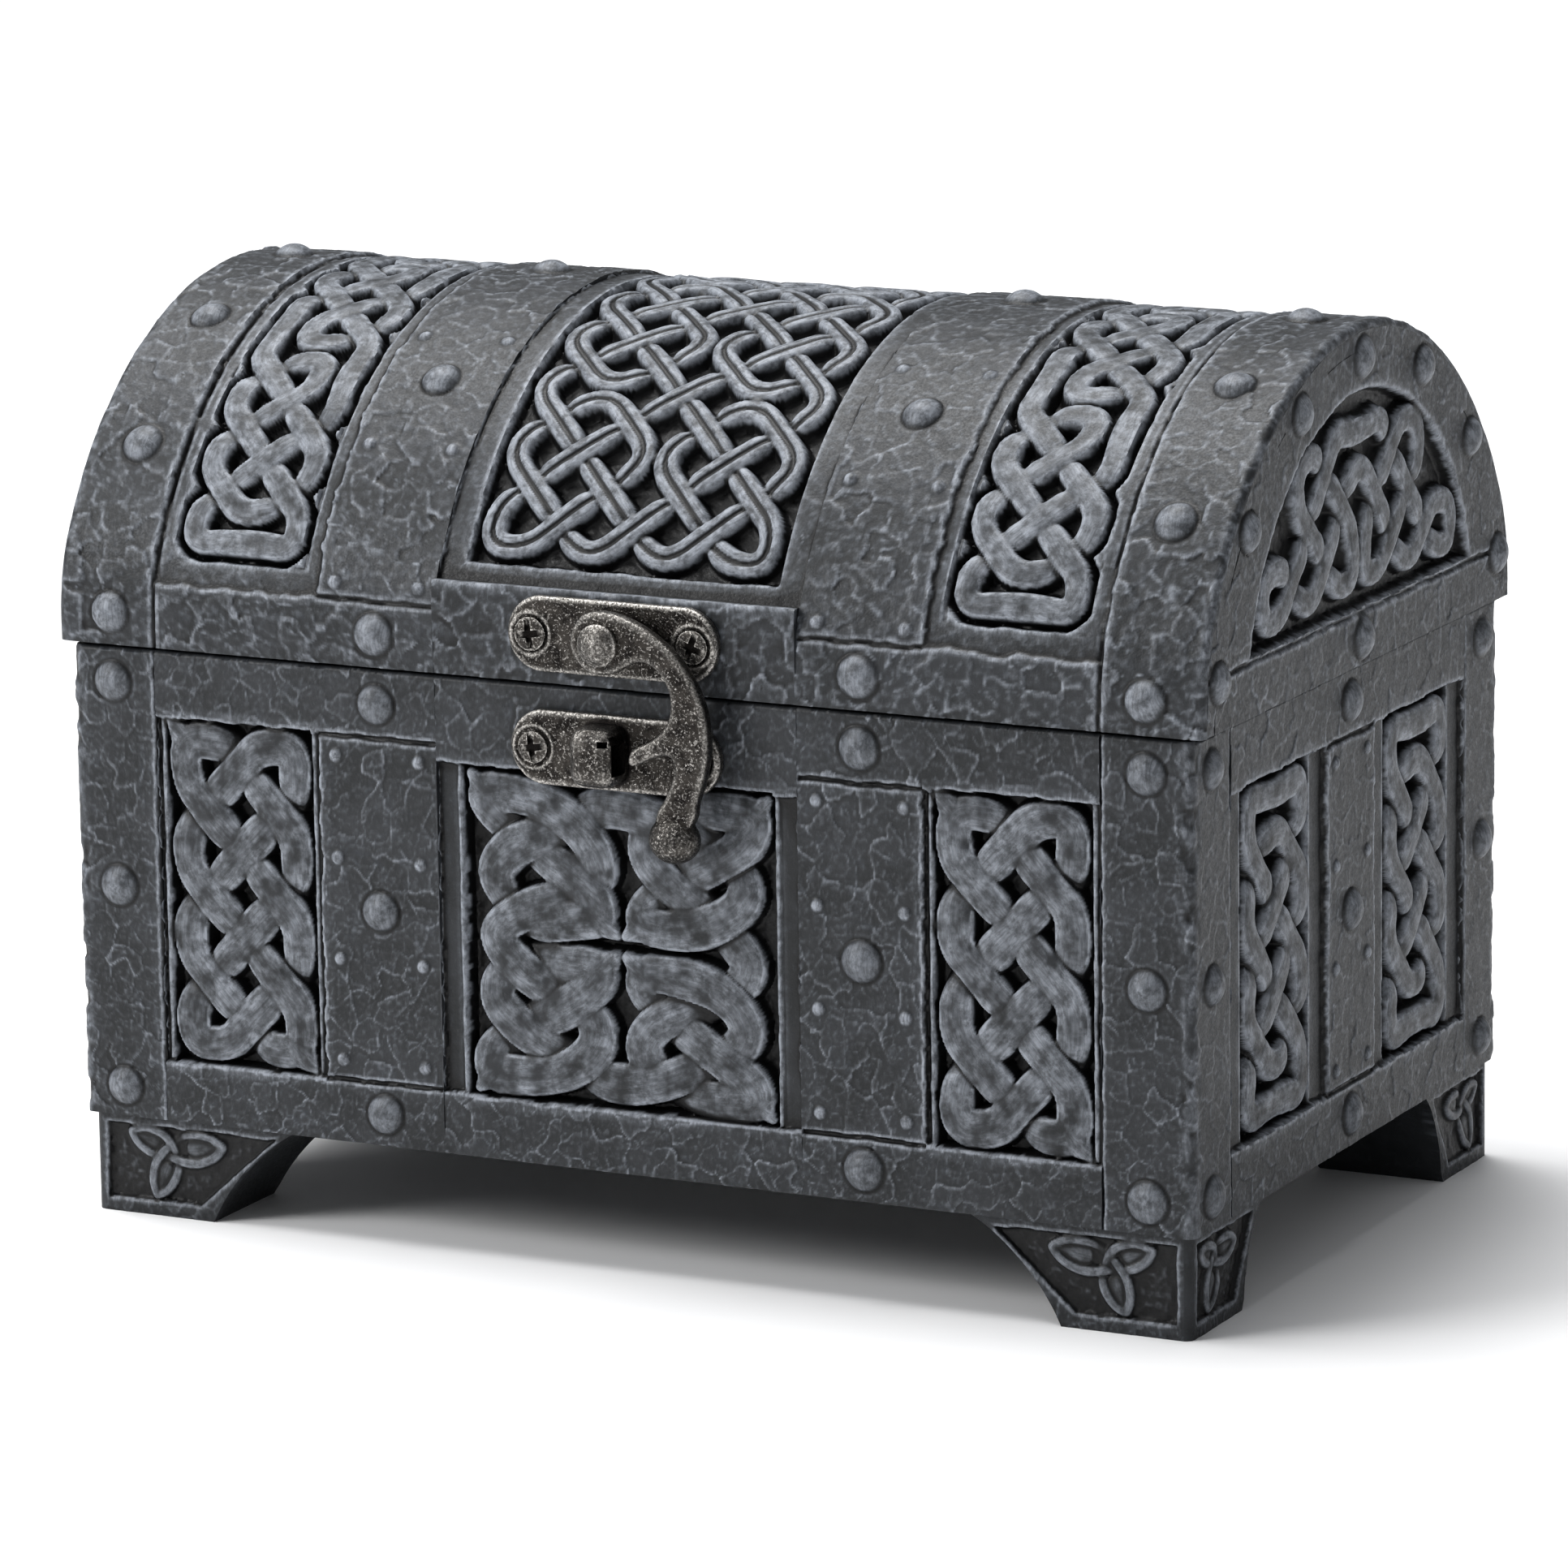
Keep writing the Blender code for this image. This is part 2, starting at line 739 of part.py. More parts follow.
def make_base(material):
    body = block((-half_x, half_x), (-half_y, half_y), (foot_height, base_top))
    bevelled(body, is_upright, base_corner_round, 2)
    bevelled(body, lambda edge: all(v.co.z > base_top - overlap for v in edge.verts)
             and not is_upright(edge), rim_chamfer, 1)
    base = make_object("base_casting", body, material)
    fuse(base, base_feet())
    cavity = rounded_rectangle(half_x - base_wall, half_y - base_wall, cavity_corner_radius, 5)
    cut(base, prism(cavity, "z", cavity_floor, base_top + through))
    shallow, deep = base_panels()
    cut(base, *shallow)
    cut(base, *deep)
    fuse(base, *base_carving())
    cut(base, *base_grooves())
    fuse(base, *base_rivets())
    cut(base, *[hinge_mortise_block(side, seam_z - hinge_leaf_height, seam_z + overlap)
                for side in (-1, 1)])
    holes = [screw_hole(place, (0, -1, 0), hinge_screw_shank_radius, hinge_screw_length)
             for place in hinge_screw_places(-1)]
    holes += [screw_hole(place, (0, 1, 0), screw_shank_radius, screw_length)
              for place in latch_screw_places(catch_plate_face, catch_plate_z)]
    cut(base, *holes)
    return base


# Lid casting

def strip_cutter(low_x, high_x, depth, floor):
    band = arch_band(-overlap, depth, floor)
    return prism(band, "x", low_x, high_x)


def lid_fields():
    """Shallow fields between the straps, then the deep panels that hold the carving."""
    shallow, deep = [], []
    for side in (-1, 1):
        field = sorted((side * strap_outer, side * corner_inner_x))
        shallow.append(strip_cutter(*field, lid_field_depth, lid_rail_top))
        inner = (field[0] + lid_strip_border, field[1] - lid_strip_border)
        deep.append(strip_cutter(*inner, lid_panel_depth, lid_rail_top + lid_strip_foot))
    pad_top = lid_bottom + latch_pad_height
    shallow.append(strip_cutter(-strap_inner, strap_inner, lid_field_depth, pad_top))
    middle = strap_inner - lid_centre_border
    deep.append(strip_cutter(-middle, middle, lid_panel_depth, pad_top + lid_centre_foot))
    outline = arch_outline(lid_end_band, lid_bottom + lid_end_rail_height)
    for end in (-1, 1):
        deep.append(prism(outline, "x", *sunk(end, lid_half_x, lid_end_panel_depth)))
    return shallow, deep


def lid_plait(width, height, on_face, depth):
    columns = max(1, round(width / lid_plait_cell))
    rows = max(1, round(height / lid_plait_cell))
    return interlace(width, height, columns, rows, {}, True, lid_strand_width,
                     on_face, lid_field_depth, depth + carving_root)


def lid_carving():
    """Twisted pairs in the strips, a plait in the middle, and a chain of links on each end."""
    over_arch = lambda middle: lambda a, b, depth: Vector(
        (middle + a, *arch_point(arch_turn_along(b), depth)))
    ribbons = []
    strip_length = 2 * arch_reach_of(lid_rail_top + lid_strip_foot)
    strip_width = side_panel_width - 2 * lid_strip_border
    for side in (-1, 1):
        ribbons += lid_plait(strip_width, strip_length, over_arch(side * hinge_centre_x),
                             lid_panel_depth)
    centre_length = 2 * arch_reach_of(lid_bottom + latch_pad_height + lid_centre_foot)
    centre_width = 2 * (strap_inner - lid_centre_border)
    ribbons += lid_plait(centre_width, centre_length, over_arch(0), lid_panel_depth)
    low = lid_bottom + lid_end_rail_height + lid_end_knot_rise
    high_turn = arch_turn_at(low + lid_end_knot_height, lid_end_band)
    end_width = 2 * abs(arch_point(high_turn, lid_end_band)[0])
    level = low + lid_end_knot_height / 2
    for end in (-1, 1):
        on_end = lambda a, b, depth: Vector((end * (lid_half_x - depth), end * a, level + b))
        ribbons += lid_plait(end_width, lid_end_knot_height, on_end, lid_end_panel_depth)
    return ribbons


def lid_grooves():
    """Narrow grooves along the straps' edges and above the rails."""
    width = seam_groove / 2
    depth = lid_field_depth + seam_groove
    grooves = []
    for side in (-1, 1):
        edge = side * corner_inner_x
        band = arch_band(-overlap, seam_groove, lid_spring + overlap)
        grooves.append(prism(band, "x", edge - width, edge + width))
        ends = sorted((side * strap_inner, side * strap_outer))
        for face in (-1, 1):
            cut_y = sorted((face * (lid_half_y - depth), face * (lid_half_y + overlap)))
            row = (lid_rail_top - width, lid_rail_top + width)
            grooves.append(block(ends, cut_y, row))
    return grooves


def arch_rivet(x, reach):
    turn = arch_turn_along(reach)
    y, z = arch_point(turn)
    return rivet((x, y, z), (0, -math.cos(turn), math.sin(turn)))


def lid_rivets():
    rail_middle = lid_bottom + lid_rail_height / 2
    rail_reach = arch_reach_of(rail_middle)
    solids = []
    corner_x = half_x - corner_strap_width / 2

    for side in (-1, 1):
        for step in range(-3, 4):
            solids.append(arch_rivet(side * corner_x, rail_reach * step / 3))
        for reach in (-rail_reach, -lid_strap_rivet_reach, 0, lid_strap_rivet_reach, rail_reach):
            solids.append(arch_rivet(side * strap_centre, reach))
    ring_inset = lid_end_band / 2
    ring_reach = arch_reach_of(lid_bottom + lid_end_rail_height)
    for end in (-1, 1):
        for step in range(-3, 4):
            y, z = arch_point(arch_turn_along(ring_reach * step / 3), ring_inset)
            solids.append(rivet((end * lid_half_x, y, z), (end, 0, 0)))
        place = (end * lid_half_x, 0, lid_bottom + lid_end_rail_height / 2)
        solids.append(rivet(place, (end, 0, 0)))
    return solids


def make_lid(material):
    body = prism(arch_outline(0.0, lid_bottom), "x", -lid_half_x, lid_half_x)
    at_end = lambda edge: all(abs(v.co.x) > lid_half_x - overlap for v in edge.verts) and any(
        v.co.z > lid_bottom + overlap for v in edge.verts)
    bevelled(body, at_end, lid_edge_round, 1)
    lid = make_object("lid_casting", body, material)
    shallow, deep = lid_fields()
    cut(lid, *shallow)
    cut(lid, *deep)
    fuse(lid, *lid_carving())
    pad = (-lid_half_y, -shoulder_y)
    fuse(lid, block((-strap_inner, strap_inner), pad, (lid_bottom, lid_bottom + latch_pad_height)))
    cut(lid, *lid_grooves())
    fuse(lid, *lid_rivets())
    hollow = arch_outline(lid_wall, lid_bottom - overlap)
    inside = lid_half_x - lid_end_wall
    cut(lid, prism(hollow, "x", -inside, inside))
    cut(lid, *[hinge_mortise_block(side, seam_z - overlap, seam_z + hinge_leaf_height)
               for side in (-1, 1)])
    holes = [screw_hole(place, (0, -1, 0), hinge_screw_shank_radius, hinge_screw_length)
             for place in hinge_screw_places(1)]
    holes += [screw_hole(place, (0, 1, 0), screw_shank_radius, screw_length)
              for place in latch_screw_places(latch_plate_face, latch_plate_z)]
    holes.append(screw_hole((latch_centre_x, latch_plate_face, latch_plate_z), (0, 1, 0),
                            latch_rivet_shank_radius, plate_thickness + seat_gap))
    cut(lid, *holes)
    return lid


# Screws

def screw(place, direction, head_radius, head_height, shank_radius, length, crossed):
    """Oval-head screw: the place is the underside of the head, the direction points inwards."""
    head = [(0, -head_height), (head_radius * 0.6, -head_height),
            (head_radius, -head_height * 0.3), (head_radius, 0)]
    shank = [(shank_radius, 0), (shank_radius, length * 0.75), (0, length)]
    solid = turned(head + shank, 8)
    if crossed:
        made = make_object("screw", solid, bpy.data.materials["steel_screw"])
        width, length = screw_cross_width / 2, screw_cross_length / 2
        for a, b in ((width, length), (length, width)):
            cut(made, block((-a, a), (-b, b),
                            (-head_height - overlap, -head_height + screw_cross_depth)))
        solid = bmesh.new()
        solid.from_mesh(made.data)
        bpy.data.objects.remove(made)
    return aimed(solid, place, direction)


def screw_hole(place, direction, shank_radius, length):
    """Clearance hole for a screw whose head seats at the place."""
    hole = cylinder(shank_radius + shank_gap, -overlap, length + seat_gap, 8)
    return aimed(hole, place, direction)


def latch_screw_places(face, height):
    return [Vector((latch_centre_x + side * latch_screw_spread, face - shank_gap, height))
            for side in (-1, 1)]


def make_latch_screws(plate_name, face, height, material):
    made = []
    for word, place in zip(("left", "right"), latch_screw_places(face, height)):
        solid = screw(place, (0, 1, 0), screw_head_radius, screw_head_height,
                      screw_shank_radius, screw_length, True)
        made.append(make_object(f"{plate_name}_screw_{word}", solid, material))
    return made


# Latch

def stadium(length, width, steps=6):
    """Outline with straight sides and half-round ends."""
    points = []
    for end in (1, -1):
        for step in range(steps + 1):
            turn = end * math.pi / 2 * (1 - 2 * step / steps)
            x = end * ((length - width) / 2 + width / 2 * math.cos(turn))
            points.append((x, width / 2 * math.sin(turn)))
    return points


def plate_solid(back, height):
    """Latch plate with a softened front edge."""
    outline = shifted(stadium(plate_length, plate_width), latch_centre_x, height)
    plate = prism(outline, "y", back - plate_thickness, back)
    front = back - plate_thickness
    at_front = lambda edge: all(abs(v.co.y - front) < overlap / 10 for v in edge.verts)
    return bevelled(plate, at_front, plate_thickness / 3, 1)


def make_latch_plate(material):
    plate = make_object("latch_plate", plate_solid(latch_plate_y, latch_plate_z), material)
    centre = (latch_centre_x, latch_plate_face, latch_plate_z)
    boss = cylinder(pivot_boss_radius, -overlap / 2, pivot_boss_height, 16)
    fuse(plate, aimed(boss, centre, (0, -1, 0)))
    shank = cylinder(latch_rivet_shank_radius + shank_gap, -through / 4, through / 4, 12)
    holes = [aimed(shank, centre, (0, -1, 0))]
    holes += [screw_hole(place, (0, 1, 0), screw_shank_radius, screw_length)
              for place in latch_screw_places(latch_plate_face, latch_plate_z)]
    cut(plate, *holes)
    return plate


def lug_solid():
    """Raised D-shaped catch: round to the left, flat to the right."""
    width, height = lug_width, lug_height
    centre = latch_centre_x + lug_offset
    radius = height / 2
    outline = [(width / 2, -radius), (width / 2, radius)]
    for step in range(9):
        turn = math.pi / 2 + math.pi * step / 8
        outline.append((-width / 2 + radius + radius * math.cos(turn), radius * math.sin(turn)))
    front = hook_front - seat_gap - lug_roof
    placed = shifted(outline, centre, catch_plate_z)
    lug = prism(placed, "y", front, catch_plate_face + overlap / 2)
    at_front = lambda edge: all(abs(v.co.y - front) < overlap / 10 for v in edge.verts)
    return bevelled(lug, at_front, lug_roof * 0.8, 2)


def make_catch_plate(material):
    plate = make_object("catch_plate", plate_solid(catch_plate_y, catch_plate_z), material)
    fuse(plate, lug_solid())
    side = latch_centre_x + lug_offset + lug_width / 2
    slot = block((side - lug_slot_depth, side + overlap),
                 (hook_front - seat_gap, hook_back + seat_gap),
                 (catch_plate_z - lug_slot_height / 2, catch_plate_z + lug_slot_height / 2))
    cut(plate, slot)
    cut(plate, *[screw_hole(place, (0, 1, 0), screw_shank_radius, screw_length)
                 for place in latch_screw_places(catch_plate_face, catch_plate_z)])
    return plate


def make_latch_rivet(material):
    """Domed rivet that holds the hook on its plate."""
    head = latch_rivet_head_radius
    height = latch_rivet_head_height
    shank = latch_rivet_shank_radius
    depth = latch_plate_y - rivet_head_y
    profile = [(0, height), (head * 0.45, height * 0.9), (head * 0.82, height * 0.55),
               (head, height * 0.15), (head * 0.97, 0), (shank, 0), (shank, -depth), (0, -depth)]
    rivet_body = turned(profile[::-1], 14)
    place = (latch_centre_x, rivet_head_y, latch_plate_z)
    return make_object("latch_rivet", aimed(rivet_body, place, (0, -1, 0)), material)


def swept(line, half_widths, half_thickness, sides=8):
    """Bar along points in the XZ plane, flat-oval in section, its width changing along it."""
    solid = bmesh.new()
    rings = []
    for index, point in enumerate(line):
        before = line[max(index - 1, 0)]
        after = line[min(index + 1, len(line) - 1)]
        along = (after - before).normalized()
        across = Vector((along.z, 0, -along.x))
        ring = []
        for side in range(sides):
            turn = math.tau * (side + 0.5) / sides
            a = half_widths[index] * math.copysign(abs(math.cos(turn)) ** 0.6, math.cos(turn))
            b = half_thickness * math.copysign(abs(math.sin(turn)) ** 0.6, math.sin(turn))
            ring.append(solid.verts.new(point + across * a + Vector((0, b, 0))))
        rings.append(ring)
    for low, high in zip(rings, rings[1:]):
        for side in range(sides):
            after = (side + 1) % sides
            solid.faces.new((low[side], low[after], high[after], high[side]))
    solid.faces.new(rings[0])
    solid.faces.new(rings[-1])
    bmesh.ops.recalc_face_normals(solid, faces=solid.faces)
    return solid


def smooth_line(knots, steps):
    """Points and half widths read from a smooth curve through (x, z, half width) knots."""
    ends = [knots[0]] + knots + [knots[-1]]
    points, widths = [], []
    for index in range(1, len(ends) - 2):
        p0, p1, p2, p3 = (Vector(ends[index + shift]) for shift in (-1, 0, 1, 2))
        for step in range(steps):
            t = step / steps
            value = 0.5 * (2 * p1 + (p2 - p0) * t + (2 * p0 - 5 * p1 + 4 * p2 - p3) * t ** 2
                           + (3 * p1 - p0 - 3 * p2 + p3) * t ** 3)
            points.append(Vector((value.x, hook_middle, value.y)))
            widths.append(value.z)
    last = Vector(knots[-1])
    points.append(Vector((last.x, hook_middle, last.y)))
    widths.append(last.z)
    return points, widths


def hook_knot(x, z, half_width):
    """Knot of the hook's centre line: shares of its reach, its drop and its half width."""
    return (latch_centre_x + x * hook_reach, latch_plate_z - z * hook_drop,
            half_width * hook_arm_width / 2)


# Centre line of the hook's arm from the eye down to the knob, and of its tongue
hook_arm = [
    hook_knot(0.12, -0.07, 1.1),
    hook_knot(0.42, -0.05, 1.14),
    hook_knot(0.73, 0.05, 1.0),
    hook_knot(0.93, 0.21, 1.0),
    hook_knot(1.0, 0.38, 1.0),
    hook_knot(0.97, 0.54, 1.0),
    hook_knot(0.91, 0.71, 0.71),
    hook_knot(0.81, 0.86, 0.76),
    hook_knot(0.75, 0.96, 1.1),
]
hook_tongue = [
    hook_knot(0.97, 0.42, 0.76),
    hook_knot(0.76, 0.49, 0.71),
    hook_knot(0.54, 0.55, 0.55),
    hook_knot(0.33, 0.585, 0.48),
]
hook_knob = hook_knot(0.73, 1.0, 0)


def make_hook(material):
    half = hook_thickness / 2
    points, widths = smooth_line(hook_arm, 2)
    hook = make_object("latch_hook", swept(points, widths, half), material, 40)
    points, widths = smooth_line(hook_tongue, 2)
    fuse(hook, swept(points, widths, half * 0.86))
    eye = [(0, -half), (hook_eye_radius - half / 3, -half), (hook_eye_radius, -half * 0.6),
           (hook_eye_radius, half * 0.6), (hook_eye_radius - half / 3, half), (0, half)]
    fuse(hook, aimed(turned(eye, 18), hook_pivot, (0, -1, 0)))
    rings = 6
    ball = [(hook_knob_radius * math.sin(math.pi * ring / rings),
             -hook_knob_radius * math.cos(math.pi * ring / rings)) for ring in range(rings + 1)]
    place = (hook_knob[0], hook_middle, hook_knob[1])
    fuse(hook, aimed(turned(ball, 10), place, (0, -1, 0)))
    bore = cylinder(latch_rivet_shank_radius + shank_gap, -through / 4, through / 4, 12)
    cut(hook, aimed(bore, hook_pivot, (0, -1, 0)))
    return hook


# Hinges

def hinge_mortise_block(side, low, high):
    """Shallow seat for a hinge leaf, with play around the leaf."""
    half = hinge_width / 2 + seat_gap
    centre = side * hinge_centre_x
    reach = (hinge_seat_y, half_y + lid_overhang_y + 2 * overlap)
    floor = low - seat_gap if low < seam_z - overlap * 1.5 else low
    roof = high + seat_gap if high > seam_z + overlap * 1.5 else high
    return block((centre - half, centre + half), reach, (floor, roof))


def hinge_screw_places(way):
    """Seats of the leaf screws: way is 1 on the lid and -1 on the base."""
    middle = seam_z + way * (hinge_knuckle_radius + hinge_leaf_height) / 2
    return [Vector((side * hinge_centre_x + end * hinge_screw_spread,
                    hinge_leaf_y + hinge_leaf_thickness + shank_gap, middle))
            for side in (-1, 1) for end in (-1, 1)]


def make_leaf(name, side, way, material):
    """Hinge leaf: the plate, and every second knuckle rolled round the pin."""
    pitch = hinge_width / hinge_knuckles
    start = side * hinge_centre_x - hinge_width / 2
    near = hinge_knuckle_radius + seat_gap
    thick = (hinge_leaf_y, hinge_leaf_y + hinge_leaf_thickness)
    z = sorted((seam_z + way * near, seam_z + way * hinge_leaf_height))
    plate = block((start, start + hinge_width), thick, z)
    far = seam_z + way * hinge_leaf_height
    corner = lambda edge: abs(edge.verts[0].co.y - edge.verts[1].co.y) > overlap / 2 and all(
        abs(v.co.z - far) < overlap / 10 for v in edge.verts)
    leaf = make_object(name, bevelled(plate, corner, hinge_leaf_corner, 2), material)
    own = range(0, hinge_knuckles, 2) if way < 0 else range(1, hinge_knuckles, 2)
    for place in own:
        low = start + place * pitch + (seat_gap / 2 if place else 0)
        high = start + (place + 1) * pitch - (seat_gap / 2 if place < hinge_knuckles - 1 else 0)
        z = sorted((seam_z, seam_z + way * (near + overlap)))
        fuse(leaf, block((low, high), thick, z))
        roll = cylinder(hinge_knuckle_radius, low, high, 10)
        fuse(leaf, aimed(roll, (0, hinge_axis_y, seam_z), (1, 0, 0)))
    bore = cylinder(hinge_pin_radius + shank_gap, start - overlap, start + hinge_width + overlap, 6)
    cut(leaf, aimed(bore, (0, hinge_axis_y, seam_z), (1, 0, 0)))
    cut(leaf, *[screw_hole(place, (0, -1, 0), hinge_screw_shank_radius, hinge_screw_length)
                for place in hinge_screw_places(way) if place.x * side > 0])
    return leaf


def make_pin(name, side, material):
    """Plain hinge pin, its peened ends just proud of the knuckles."""
    half = hinge_width / 2
    radius = hinge_pin_radius
    profile = [(0, -half - hinge_pin_end), (radius * 0.7, -half - hinge_pin_end * 0.7),
               (radius, -half)]
    profile += [(r, -height) for r, height in reversed(profile)]
    place = (side * hinge_centre_x, hinge_axis_y, seam_z)
    return make_object(name, aimed(turned(profile, 8), place, (1, 0, 0)), material)


def make_hinge_screws(way, material):
    words = [f"{side}_hinge_{'lower' if way < 0 else 'upper'}_screw_{end}"
             for side in ("left", "right") for end in ("a", "b")]
    made = []
    for name, place in zip(words, hinge_screw_places(way)):
        solid = screw(place, (0, -1, 0), hinge_screw_head_radius, hinge_screw_head_height,
                      hinge_screw_shank_radius, hinge_screw_length, False)
        made.append(make_object(name, solid, material))
    return made


def clear_scene():
    for item in list(bpy.data.objects):
        bpy.data.objects.remove(item)


def make_empty(name, parent, place, parent_place):
    empty = bpy.data.objects.new(name, None)
    bpy.context.scene.collection.objects.link(empty)
    empty.parent = parent
    empty.location = Vector(place) - Vector(parent_place)
    return empty


def build_chest():
    clear_scene()
    materials = make_materials()
    resin = materials["grey_cast_resin"]
    pewter = materials["antique_pewter"]
    steel = materials["steel_screw"]

    still = Vector((0, 0, 0))
    root = make_empty("chest", None, (0, centring_shift, 0), still)
    lid_axis = make_empty("lid_axis", root, hinge_axis, still)
    hook_axis = make_empty("hook_axis", lid_axis, hook_pivot, hinge_axis)

    on_base = [make_base(resin), make_catch_plate(pewter)]
    on_base += make_latch_screws("catch_plate", catch_plate_face, catch_plate_z, steel)
    on_base += make_hinge_screws(-1, steel)
    on_lid = [make_lid(resin), make_latch_plate(pewter), make_latch_rivet(pewter)]
    on_lid += make_latch_screws("latch_plate", latch_plate_face, latch_plate_z, steel)
    on_lid += make_hinge_screws(1, steel)
    for word, side in (("left", -1), ("right", 1)):
        on_base.append(make_leaf(f"{word}_hinge_lower_leaf", side, -1, pewter))
        on_base.append(make_pin(f"{word}_hinge_pin", side, steel))
        on_lid.append(make_leaf(f"{word}_hinge_upper_leaf", side, 1, pewter))
    for piece in on_base:
        hang_on(piece, root, still)
    for piece in on_lid:
        hang_on(piece, lid_axis, hinge_axis)
    hang_on(make_hook(pewter), hook_axis, hook_pivot)


build_chest()
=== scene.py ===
import math
import bpy
import numpy as np
from mathutils import Matrix, Vector


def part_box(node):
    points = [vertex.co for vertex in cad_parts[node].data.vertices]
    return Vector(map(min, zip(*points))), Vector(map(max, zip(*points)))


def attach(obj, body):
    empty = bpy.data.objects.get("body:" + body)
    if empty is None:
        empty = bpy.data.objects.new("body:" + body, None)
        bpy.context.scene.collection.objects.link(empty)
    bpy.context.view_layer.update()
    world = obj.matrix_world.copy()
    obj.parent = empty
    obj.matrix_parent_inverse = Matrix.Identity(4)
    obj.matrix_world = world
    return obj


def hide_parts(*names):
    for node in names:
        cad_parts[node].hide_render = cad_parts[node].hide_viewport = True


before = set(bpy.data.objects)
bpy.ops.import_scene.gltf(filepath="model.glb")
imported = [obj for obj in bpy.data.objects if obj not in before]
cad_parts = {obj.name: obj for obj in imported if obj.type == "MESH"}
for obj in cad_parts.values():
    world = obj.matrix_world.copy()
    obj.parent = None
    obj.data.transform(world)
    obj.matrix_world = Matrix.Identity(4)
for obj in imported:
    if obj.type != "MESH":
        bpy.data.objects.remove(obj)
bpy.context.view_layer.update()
mm = 0.001
castLow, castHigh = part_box("base_casting")
chestMiddle = (castLow.y + castHigh.y) / 2     # the frame's origin counts the latch and hinges too

# Sizes of the two castings in millimetres
base = {
    "halfX": 75.0, "halfY": 47.1, "bottom": 12.6, "top": 71.7, "cornerRound": 1.2,
    "cornerX": 63.2, "cornerY": 36.1, "strapIn": 24.2, "strapOut": 40.5,
    "panelLow": 20.4, "panelHigh": 63.3, "centreHigh": 60.9, "step": 0.8, "floor": 2.8,
    "sideBorder": 1.3, "centreBorder": 3.4, "endStrap": 7.35, "endNear": 11.75, "endFar": 31.7,
    "wall": 7.0, "cavityFloor": 19.0, "cavityCorner": 6.0, "skin": 3.4,
}
lid = {
    "halfX": 76.5, "halfY": 47.3, "bottom": 72.1, "spring": 75.0, "top": 113.4, "shoulder": 23.7,
    "railTop": 80.1, "padTop": 83.2, "fieldDepth": 0.5, "panelDepth": 2.4,
    "stripIn": 42.7, "stripOut": 61.0, "stripFoot": 83.3, "centreHalf": 20.6, "centreFoot": 85.8,
    "endBand": 8.2, "endRail": 6.5, "endRing": (34.7, 70.4, 79.3), "endDepth": 2.0,
    "wall": 6.5, "endWall": 7.0, "edgeRound": 1.0, "skin": 3.2,
}
rivets = {"radius": 2.6, "height": 1.3, "groove": 0.06, "studRadius": 0.9, "studHeight": 0.5,
          "studSpread": 5.7, "levels": (16.5, 41.85, 67.5), "strapX": 32.35, "postX": 69.1,
          "postY": 41.6, "lidStrapReach": 30.7}


def placed(x, y, z):
    # millimetres of the chest to metres of the frame
    x, y, z = np.broadcast_arrays(x, y, z)
    return np.stack([x * mm, y * mm + chestMiddle, z * mm], axis=-1)


# The lid's outline: two shoulder arcs and a flatter crown
shoulderY = lid["halfY"] - lid["shoulder"]
lidRise = lid["top"] - lid["spring"]
crownRadius = (shoulderY ** 2 + lidRise ** 2 - lid["shoulder"] ** 2) / (2 * (lidRise - lid["shoulder"]))
crownZ = lid["top"] - crownRadius
shoulderTurn = math.atan2(lid["spring"] - crownZ, shoulderY)
crownReach = crownRadius * (math.pi / 2 - shoulderTurn)
springReach = crownReach + lid["shoulder"] * shoulderTurn
rimReach = springReach + lid["spring"] - lid["bottom"]


def archAt(reach, lift):
    # y, z and facing of the lid's surface, by the distance along it from the crown
    distance = np.abs(reach)
    side = np.sign(reach)
    onCrown = distance <= crownReach
    lean = np.where(onCrown, distance / crownRadius,
                    math.pi / 2 - shoulderTurn + (distance - crownReach) / lid["shoulder"])
    lean = np.minimum(lean, math.pi / 2)
    below = np.maximum(distance - springReach, 0)
    middleY = np.where(onCrown, 0, side * shoulderY)
    middleZ = np.where(onCrown, crownZ, lid["spring"])
    radius = np.where(onCrown, crownRadius, lid["shoulder"]) + lift
    return middleY + side * radius * np.sin(lean), middleZ + radius * np.cos(lean) - below


def reachOf(height):
    onShoulder = (height - lid["spring"]) / lid["shoulder"]
    if onShoulder <= 0:
        return springReach + lid["spring"] - height
    if onShoulder <= math.sin(shoulderTurn):
        return springReach - lid["shoulder"] * math.asin(onShoulder)
    return crownRadius * (math.pi / 2 - math.asin((height - crownZ) / crownRadius))


# Relief drawn on a canvas of heights in millimetres, read afterwards at each vertex

def smoothStep(value):
    value = np.clip(value, 0.0, 1.0)
    return value * value * (3 - 2 * value)


def cloud(a, b, size, seed, octaves=2):
    # soft random field from -1 to 1 with lumps of the given size
    total, weight, share = 0.0, 0.0, 1.0
    for octave in range(octaves):
        table = np.random.default_rng(seed * 31 + octave).random((64, 64)) * 2 - 1
        p, q = a / size + 17.3 * octave, b / size + 5.1 * octave
        i, j = np.floor(p).astype(int), np.floor(q).astype(int)
        u, v = smoothStep(p - i), smoothStep(q - j)
        i0, i1, j0, j1 = i % 64, (i + 1) % 64, j % 64, (j + 1) % 64
        low = table[i0, j0] * (1 - u) + table[i1, j0] * u
        high = table[i0, j1] * (1 - u) + table[i1, j1] * u
        total = total + share * (low * (1 - v) + high * v)
        weight += share
        share *= 0.5
        size /= 2
    return total / weight * 1.4


